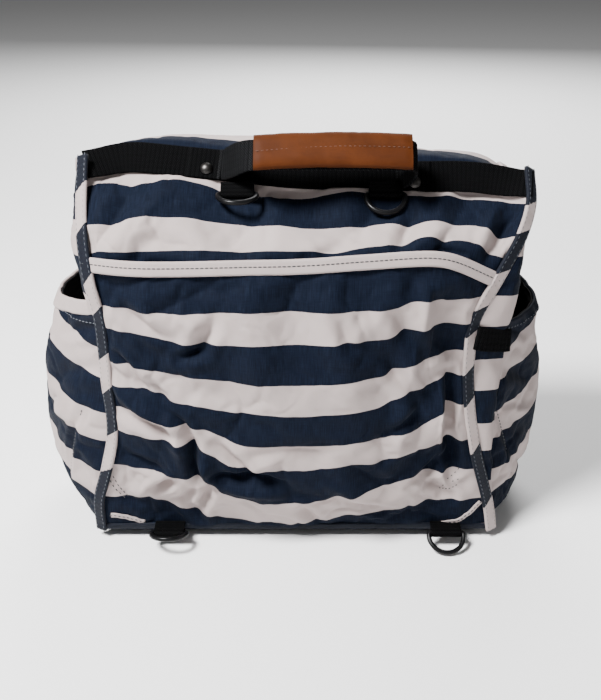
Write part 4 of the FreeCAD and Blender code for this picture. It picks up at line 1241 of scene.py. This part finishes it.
def side_pocket_net(side):
    """Control net of a side pocket: levels upwards, ribs from the back to the front."""
    if side == "left":
        depths = [-76, -66, -42, -10, 28, 58, 77]
        reach = [
            (16, [167, 176, 190, 200, 200, 188, 167]),
            (45, [166, 180, 200, 215, 214, 196, 166]),
            (82, [156, 178, 203, 218, 217, 198, 162]),
            (113, [150, 174, 202, 217, 216, 197, 158]),
            (148, [149, 168, 195, 211, 211, 193, 156]),
            (178, [149, 163, 186, 203, 205, 188, 157]),
            (200, [150, 160, 179, 199, 200, 184, 158])]
        mouth = [(-150, -77, 218), (-160, -68, 215), (-179, -42, 206), (-199, -8, 197), (-200, 28, 197),
                 (-184, 58, 202), (-158, 77, 206)]
        sign = -1
    else:
        depths = [-66, -60, -40, -10, 28, 58, 77]
        reach = [
            (16, [162, 168, 182, 193, 193, 184, 164]),
            (45, [158, 168, 186, 200, 200, 188, 162]),
            (82, [157, 167, 187, 202, 202, 188, 158]),
            (113, [157, 167, 187, 202, 202, 188, 154]),
            (148, [159, 167, 184, 198, 199, 186, 152]),
            (178, [160, 166, 180, 195, 196, 183, 152]),
            (200, [160, 165, 178, 193, 195, 181, 153])]
        mouth = [(160, -64, 196), (164, -60, 195), (178, -40, 192), (193, -8, 190), (194, 28, 193),
                 (181, 58, 198), (153, 77, 204)]
        sign = 1
    net = []
    for height, row in reach:
        net.append([(sign * across, depth, height) for across, depth in zip(row, depths)])
    net[-1] = mouth
    return net


# Folds of the side pockets: start and end as (front to back, height), width and depth.
SIDE_POCKET_FOLDS = [
    ((-60, 190), (-20, 60), 9, -2.6), ((-30, 180), (10, 90), 10, 2.0), ((20, 180), (40, 60), 12, -2.4),
    ((-66, 120), (-50, 30), 7, 2.6), ((-40, 60), (0, 20), 9, -2.8), ((50, 150), (60, 40), 8, 2.0),
    ((-66, 122), (-44, 44), 3.5, -3.0), ((-74, 196), (-40, 176), 5, -2.4),
    ((-70, 160), (-30, 130), 6, -2.4), ((-50, 110), (-20, 90), 6, 2.4)]


def make_side_pocket(side, sign, slope, shift, hem_height, hem_stripe):
    """A bulging pocket lined with black; slope and shift place its stripes."""
    net = side_pocket_net(side)
    rows, columns = 120, 150
    points = patch(net, rows, columns)
    towards_back = np.clip(-points[..., 1] / 76.0, -1, 1)
    phase = stripe_phase(points[..., 2] + slope * towards_back - shift + 2 * STRIPE_PAIR)
    normal = grid_normals(points) * sign
    lift = folded(points, [1, 2], SIDE_POCKET_FOLDS) + 0.9 * ripple(points, 60, 71 + sign)
    lift += 1.1 * crumple(points, 34, 73 + sign)
    inside = away_from_seams(net, rows, columns, 0.5)
    points = points + normal * (lift * inside)[..., None]
    points = points + buckled(points, 0.016, 4.0)
    if side == "left":
        points = points[:, ::-1]
        phase = phase[:, ::-1]
    pouch = cloth("side_pocket_cloth_" + side, points, phase)
    thicken(pouch, CANVAS_THICKNESS)
    dress(pouch, "bag", "striped_canvas", "side_pocket_" + side)
    facing = grid_normals(points)
    dart = on_surface(points, facing, [(-65, 118), (-56, 84), (-45, 46)], 0.6, (1, 2))[0]
    sew("side_pocket_dart_" + side, dart, (sign * 0.6, -0.8, 0.0), "thread_dark", 2.4, 1.4, 0.45)
    lining = cloth("side_pocket_lining_cloth_" + side, (points - facing * 2.2)[:, 2:-2])
    dress(thicken(lining, LINING_THICKNESS), "bag", "dark_lining", "side_pocket_lining_" + side)
    make_side_hem(side, points, hem_height, hem_stripe)


def make_side_hem(side, points, height, stripe):
    """The folded hem at the mouth of a side pocket and its row of stitches."""
    count = points.shape[1] // 2
    edge = even_loop(points[-1], count)
    down = unit(matched(points[-1], points[-10] - points[-1], count))
    tangent = unit(np.gradient(edge, axis=0))
    outward = unit(np.cross(down, tangent))
    flip = np.sign(((edge - edge.mean(axis=0)) * outward).sum(axis=1).mean())
    outward = outward * (flip if flip != 0 else 1)
    centre = edge + down * (height / 2 - 1.0)
    section = flat_section(height, 2.8)
    hem = sweep("side_pocket_hem_" + side, centre, down, outward, section, one_colour(stripe))
    dress(hem, "bag", "striped_canvas")
    line, facing = centre + outward * 1.3 + down * 2.6, outward
    if side == "left":
        facing = grid_normals(points)[-11, 3:-3]
        line = points[-11, 3:-3] + facing * 0.4
    sew("side_pocket_hem_stitches_" + side, line, facing, "thread_on_cloth")


def make_side_pockets():
    """The pockets on both sides: a white hem on the left, a navy one on the right."""
    make_side_pocket("left", -1, 17.0, 26.0, 13.0, ALL_WHITE)
    make_side_pocket("right", 1, 15.0, 19.0, 9.5, ALL_NAVY)


def make_pocket_strap():
    """The black strap between the right back seam and the right side pocket."""
    line = curve([(133, -79, 190), (140, -78, 188), (148, -74.5, 186), (156, -70.5, 184),
                  (161, -67.5, 183)], 1.5)
    side, outward = line_frame(line, (0.5, -0.85, 0.2))
    strap = sweep("pocket_strap", line + outward * 2.8, side, outward, flat_section(18.5, 1.8))
    dress(strap, "bag", "black_webbing", "side_pocket_strap")


# ---------------------------------------------------------------- band, handle ends and handle

BAND_START, BAND_END = -163.0, 174.0


def band_line(share, lift):
    """A line along the webbing band, at a share of its width and lifted off the panel."""
    across = np.arange(BAND_START, BAND_END + 2.0, 2.0)
    spots = BAND_LOW + BAND_UP * (band_shift(across) + BAND_WIDTH * share)[:, None] + BAND_OUT * lift
    spots = spots + band_reach(across, share)
    spots[:, 0] = across
    return spots


def make_band():
    """Black webbing along the top of the back panel."""
    line = band_line(0.5, 1.2)
    reach = band_reach(line[:, 0], 0.5)
    smoothed = averaged(line - reach, 17, False) + reach
    smoothed[:, 0] = line[:, 0]
    rise = unit(band_line(1.0, 0.0) - band_line(0.0, 0.0))
    side, outward = line_frame(smoothed, np.cross([1.0, 0.0, 0.0], rise))
    band = sweep("webbing_band_cloth", smoothed, side, outward, flat_section(25.4, 1.8, 12))
    dress(band, "bag", "black_webbing", "webbing_band")


def make_handle_ends():
    """The riveted ends of the handle, lying flat on the band."""
    for side in ("left", "right"):
        low, high = box_in_mm("handle_end_" + side)
        start, end = (low[0] - 1.0, high[0] + 1.0) if side == "left" else (low[0] - 4.0, high[0])
        across = np.linspace(start, end, 16)
        line = BAND_LOW + BAND_UP * (BAND_WIDTH / 2 + band_shift(across))[:, None] + BAND_OUT * 2.2
        line[:, 0] = across
        wide, outward = line_frame(line, BAND_OUT)
        tape = sweep("handle_end_cloth_" + side, line, wide, outward, flat_section(24.6, 1.4, 10))
        dress(tape, "bag", "black_webbing", "handle_end_" + side)


def make_handle_webbing():
    """The handle strap from the left end, through the leather wrap, to the right end."""
    pivot = BAND_LOW + BAND_UP * (BAND_WIDTH / 2)
    legs = [
        # centre along x, distance up the slope from the pivot, lift off the band, lean of the width direction
        (-62.0, 7.0, 3.6, 0.0), (-58.0, 6.5, 5.0, -4.0), (-52.5, 4.0, 14.0, -10.0), (-46.0, 1.5, 25.0, -12.0),
        (-39.0, 0.3, 32.0, -6.0), (-30.0, 0.0, 34.0, 0.0), (0.0, 0.0, 34.0, 0.0), (40.0, 0.0, 34.0, 0.0),
        (74.0, 0.0, 34.0, 0.0), (80.0, -0.2, 33.6, 0.0), (84.2, -0.6, 30.5, 0.0), (84.6, -1.2, 23.0, 0.0),
        (81.0, -1.8, 12.0, 0.0), (77.0, -2.0, 5.5, 0.0), (73.0, -2.0, 3.8, 0.0)]
    places = np.linspace(0, len(legs) - 1, 220)
    values = smooth(np.array(legs), places)
    line = pivot + BAND_UP * values[:, 1:2] + BAND_OUT * values[:, 2:3]
    line[:, 0] = values[:, 0]
    tangent = unit(np.gradient(line, axis=0))
    lean = np.radians(values[:, 3:4])
    wide = unit(BAND_UP * np.cos(lean) + np.array([1.0, 0.0, 0.0]) * np.sin(lean))
    wide = unit(wide - tangent * (wide * tangent).sum(axis=1, keepdims=True))
    thick = unit(np.cross(tangent, wide))
    strap = sweep("handle_strap", line, wide, thick, flat_section(24.6, 2.4, 12))
    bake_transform(strap)
    finish_piece(strap, "black_webbing", "handle_webbing")
    # The strap takes the lighter, lit copy of the webbing: painted light on the handle.
    strap.data.materials[0] = MATERIALS["handle_webbing"]


def wrap_outline():
    """Outline of the padded leather wrap: a flat oval with soft corners."""
    turns = np.linspace(0, 2 * math.pi, 130, endpoint=False)
    across = 13.6 * np.sign(np.cos(turns)) * np.abs(np.cos(turns)) ** 0.62
    through = 4.3 * np.sign(np.sin(turns)) * np.abs(np.sin(turns)) ** 0.72
    return np.stack([across, through], axis=1)


def make_handle_wrap():
    """Leather sleeve on the handle, with a sunk stitch line along its face."""
    low, high = box_in_mm("handle_wrap")
    start, end = low[0], high[0]
    centre = np.array([0.0, (low[1] + high[1]) / 2.0, (low[2] + high[2]) / 2.0])
    outline = wrap_outline()
    count = 230
    across = np.linspace(start, end, count)
    share = (across - start) / (end - start)
    line = np.tile(centre, (count, 1))
    line[:, 0] = across
    line += BAND_UP * (-0.6 + 0.6 * share + 2.4 * np.sin(math.pi * share))[:, None]
    wide = np.tile(BAND_UP, (count, 1))
    thick = np.tile(BAND_OUT, (count, 1))
    section = np.tile(outline, (count, 1, 1))
    end_flat = 1 - 0.16 * np.exp(-(np.minimum(share, 1 - share) / 0.03) ** 2)
    section[..., 1] *= end_flat[:, None]
    seam_height = (-0.8 + 2.4 * share)[:, None]
    groove = np.exp(-((section[..., 0] - seam_height) / 0.75) ** 2) * (section[..., 1] > 0)
    section[..., 1] -= 0.55 * groove
    puff = np.exp(-((section[..., 0] - 7.0) / 4.5) ** 2) + np.exp(-((section[..., 0] + 5.5) / 5.0) ** 2)
    section[..., 1] += 0.35 * puff * (section[..., 1] > 0)
    places = np.stack([np.tile(across[:, None], (1, len(outline))), section[..., 0], section[..., 1]], axis=2)
    dents = 0.18 * ripple(places, 30, 81) + 0.07 * ripple(places, 9, 82)
    section *= (1 + dents / 12.0)[..., None]
    outer = line[:, None] + section[..., :1] * wide[:, None] + section[..., 1:] * thick[:, None]
    inner_section = section * np.array([0.90, 0.68])
    inner = line[:, None] + inner_section[..., :1] * wide[:, None] + inner_section[..., 1:] * thick[:, None]
    depth = 14
    rim_left = inner[:depth]
    rim_right = inner[-depth:]
    columns = len(outline)
    vertices = np.concatenate([outer.reshape(-1, 3), rim_left.reshape(-1, 3), rim_right.reshape(-1, 3)])
    faces = grid_faces(count, columns, True)
    groups = [0] * len(faces)
    left_start = count * columns
    right_start = left_start + depth * columns
    inside = [tuple(reversed(face)) for face in grid_faces(depth, columns, True, left_start)]
    inside += [tuple(reversed(face)) for face in grid_faces(depth, columns, True, right_start)]
    faces += inside
    groups += [0] * len(inside)
    last_outer = (count - 1) * columns
    last_inner = right_start + (depth - 1) * columns
    for column in range(columns):
        following = (column + 1) % columns
        faces.append((following, column, left_start + column, left_start + following))
        faces.append((last_outer + column, last_outer + following,
                      last_inner + following, last_inner + column))
        groups += [1, 1]
    wrap = new_object("handle_wrap_leather", vertices, faces, groups=groups)
    wrap.data.materials.append(MATERIALS["tan_leather"])
    wrap.data.materials.append(MATERIALS["raw_leather"])
    dress(wrap, "handle", "tan_leather", "handle_wrap", "handle_padding")
    row_line = line[6:-6] + BAND_UP * seam_height[6:-6] + BAND_OUT * 4.35
    row = stitch_row("handle_wrap_stitches", row_line, BAND_OUT, "thread_tan", 2.0, 1.5, 0.26, 0.05)
    dress(row, "handle", "tan_leather")


# ---------------------------------------------------------------- rings and tabs

def make_ring(where):
    """Smooth shading and a glossy black coat for a D-ring of the CAD."""
    ring = frame["nodes"]["d_ring_" + where].data
    ring.materials.clear()
    ring.materials.append(MATERIALS["ring_metal"])
    for face in ring.polygons:
        face.use_smooth = True


def make_tab(where, outward, up, foot):
    """Webbing folded round a ring's bar and sewn to the bag."""
    joint = [item for item in frame["joints"] if item["child"] == "ring_" + where][0]
    bar = np.array(joint["pos_m"]) / TO_METRES
    outward, up = unit(np.array(outward, float)), unit(np.array(up, float))
    radius = 3.3
    path = []
    for reach, rise in foot:
        path.append(bar - outward * reach + up * rise)
    turn_from, turn_to = foot_angles(foot)
    for angle in np.linspace(turn_from, turn_to, 14):
        path.append(bar + outward * radius * math.cos(angle) + up * radius * math.sin(angle))
    last = foot[-1]
    path.append(bar - outward * last[0] + up * (last[1] - 2.2 * np.sign(last[1])))
    line = respace(np.array(path), 0.8)
    wide = np.tile(unit(np.cross(outward, up)), (len(line), 1))
    thick = unit(np.cross(wide, unit(np.gradient(line, axis=0))))
    tape = sweep("ring_tab_cloth_" + where, line, wide, thick, flat_section(25.4, 1.5, 10))
    dress(tape, "bag", "black_webbing", "ring_tab_" + where)


def foot_angles(foot):
    """Start and end angle of the turn round the bar, from the side on which the tab is sewn."""
    return (math.radians(90), math.radians(-90)) if foot[-1][1] > 0 else (math.radians(-90), math.radians(90))


def make_rings():
    """All six rings and their tabs."""
    for where in ("upper_left", "upper_right"):
        make_ring(where)
        make_tab(where, BAND_OUT * 0.25 - BAND_UP, BAND_OUT, [(9.0, 3.4), (4.0, 3.3)])
    for where in ("lower_left", "lower_right"):
        make_ring(where)
        make_tab(where, (0, -1, 0.05), (0, 0, 1), [(11.0, 3.6), (5.0, 3.3)])
    for where, sign in (("side_left", -1), ("side_right", 1)):
        make_ring(where)
        make_tab(where, (sign, 0, 0), (0, 0, 1), [(9.0, 4.0), (4.0, 3.3)])


# ---------------------------------------------------------------- flap

def flap_net():
    """Control net of the flap from its seam at the band, over the crown and down the front."""
    ribs = [-163, -148, -110, -60, 0, 60, 110, 145, 168]
    crown = [300, 314, 324, 323.5, 318.5, 315, 311.5, 307.5, 296]
    net = []
    seam_row, rise_row = [], []
    for across in ribs:
        spot = BAND_LOW + BAND_UP * (band_shift(across) + BAND_WIDTH - 2.0) + band_reach(across, 1.0)
        inward = across * 0.955
        corner_drop = max(abs(across) - 140.0, 0.0) * 0.45
        seam_row.append((inward, spot[1] + 1.5, spot[2] - 1.0 - corner_drop * 0.5))
        rise_row.append((inward, spot[1] + 9.0, spot[2] + 5.0 - corner_drop))
    net.append(seam_row)
    net.append(rise_row)
    # Depth and fall below the crown of each further level, over the top and down the front.
    levels = [(10, 0.0), (30, 8.0), (52, 28.0), (74, 58.0), (84.5, 94.0), (86.5, 150.0), (86.5, 192.0)]
    for number, (depth, fall) in enumerate(levels):
        row = []
        for across, top in zip(ribs, crown):
            share = min(number / 4.0, 1.0)
            height = top * (1 - share) + 322.0 * share - fall
            row.append((across * (0.975 + 0.012 * share), depth, height))
        net.append(row)
    return net


def hang(thing, slot, *nodes):
    """Bake a piece of the flap into its place, give it the material of a slot and hide the CAD nodes it
    stands for.
    """
    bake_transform(thing)
    finish_piece(thing, slot, *nodes)


def make_flap():
    """The flap, its lining and its edge binding."""
    net = flap_net()
    rows, columns = 170, 160
    points = patch(net, rows, columns)
    travelled = np.concatenate([np.zeros((1, columns)),
                                np.cumsum(np.linalg.norm(np.diff(points, axis=0), axis=2), axis=0)])
    phase = stripe_phase(travelled + table(points[..., 0], (-60, 11.5), (80, 7.0)))
    normal = grid_normals(points)
    lift = 1.1 * ripple(points, 80, 91) + 0.9 * crumple(points, 42, 92) + 0.15 * ripple(points, 12, 93)
    inside = np.clip(patch_places(net, rows, columns, 0) / 4.0, 0, 1)[..., None]
    points = points + normal * lift[..., None] * inside
    points = points + buckled(points, 0.010, 2.5) * inside
    outer = cloth("flap_cloth", points, phase)
    thicken(outer, CANVAS_THICKNESS)
    hang(outer, "striped_canvas", "flap_outer")
    under = cloth("flap_lining_cloth", points - normal * 3.4)
    hang(thicken(under, LINING_THICKNESS), "dark_lining", "flap_lining")
    # The edge binding starts a few rows away from the sewn edge and runs round the flap's free sides.
    free = 14
    border = np.concatenate([points[free:-1, 0], points[-1], points[free:, -1][::-1][1:]])
    border = respace(border, 2.5)
    facing = np.concatenate([normal[free:-1, 0], normal[-1], normal[free:, -1][::-1][1:]])
    new_places, old_places = np.linspace(0, 1, len(border)), np.linspace(0, 1, len(facing))
    facing = np.stack([np.interp(new_places, old_places, facing[:, axis]) for axis in range(3)], axis=1)
    side, outward = line_frame(border, facing)
    tape = sweep("flap_binding", border, side, outward, flat_section(8.5, 3.6, 8), bias_phase)
    hang(tape, "bias_binding", "flap_edge_binding")
    stitch_line = border + side * -2.6 + outward * 1.8
    hang(stitch_row("flap_binding_stitches", stitch_line, outward, "thread_on_cloth"), "bias_binding")


# ---------------------------------------------------------------- CAD pieces that stay

def dress_cad():
    """Materials of the CAD nodes that show as they are."""
    kept = {"rivet_left": "gunmetal", "rivet_right": "gunmetal", "base_board": "board",
            "snap_socket_left": "snap_metal", "snap_socket_right": "snap_metal",
            "snap_stud_left": "snap_metal", "snap_stud_right": "snap_metal"}
    for node, slot in kept.items():
        thing = frame["nodes"][node]
        thing.data.materials.clear()
        thing.data.materials.append(MATERIALS[slot])


stage_floor_and_light()
dress_cad()
make_upper_panel()
make_slip_pocket()
make_bindings()
make_gussets()
make_front_panel()
make_base()
make_inner_lining()
make_side_pockets()
make_pocket_strap()
make_band()
make_handle_ends()
make_handle_webbing()
make_handle_wrap()
make_rings()
make_flap()
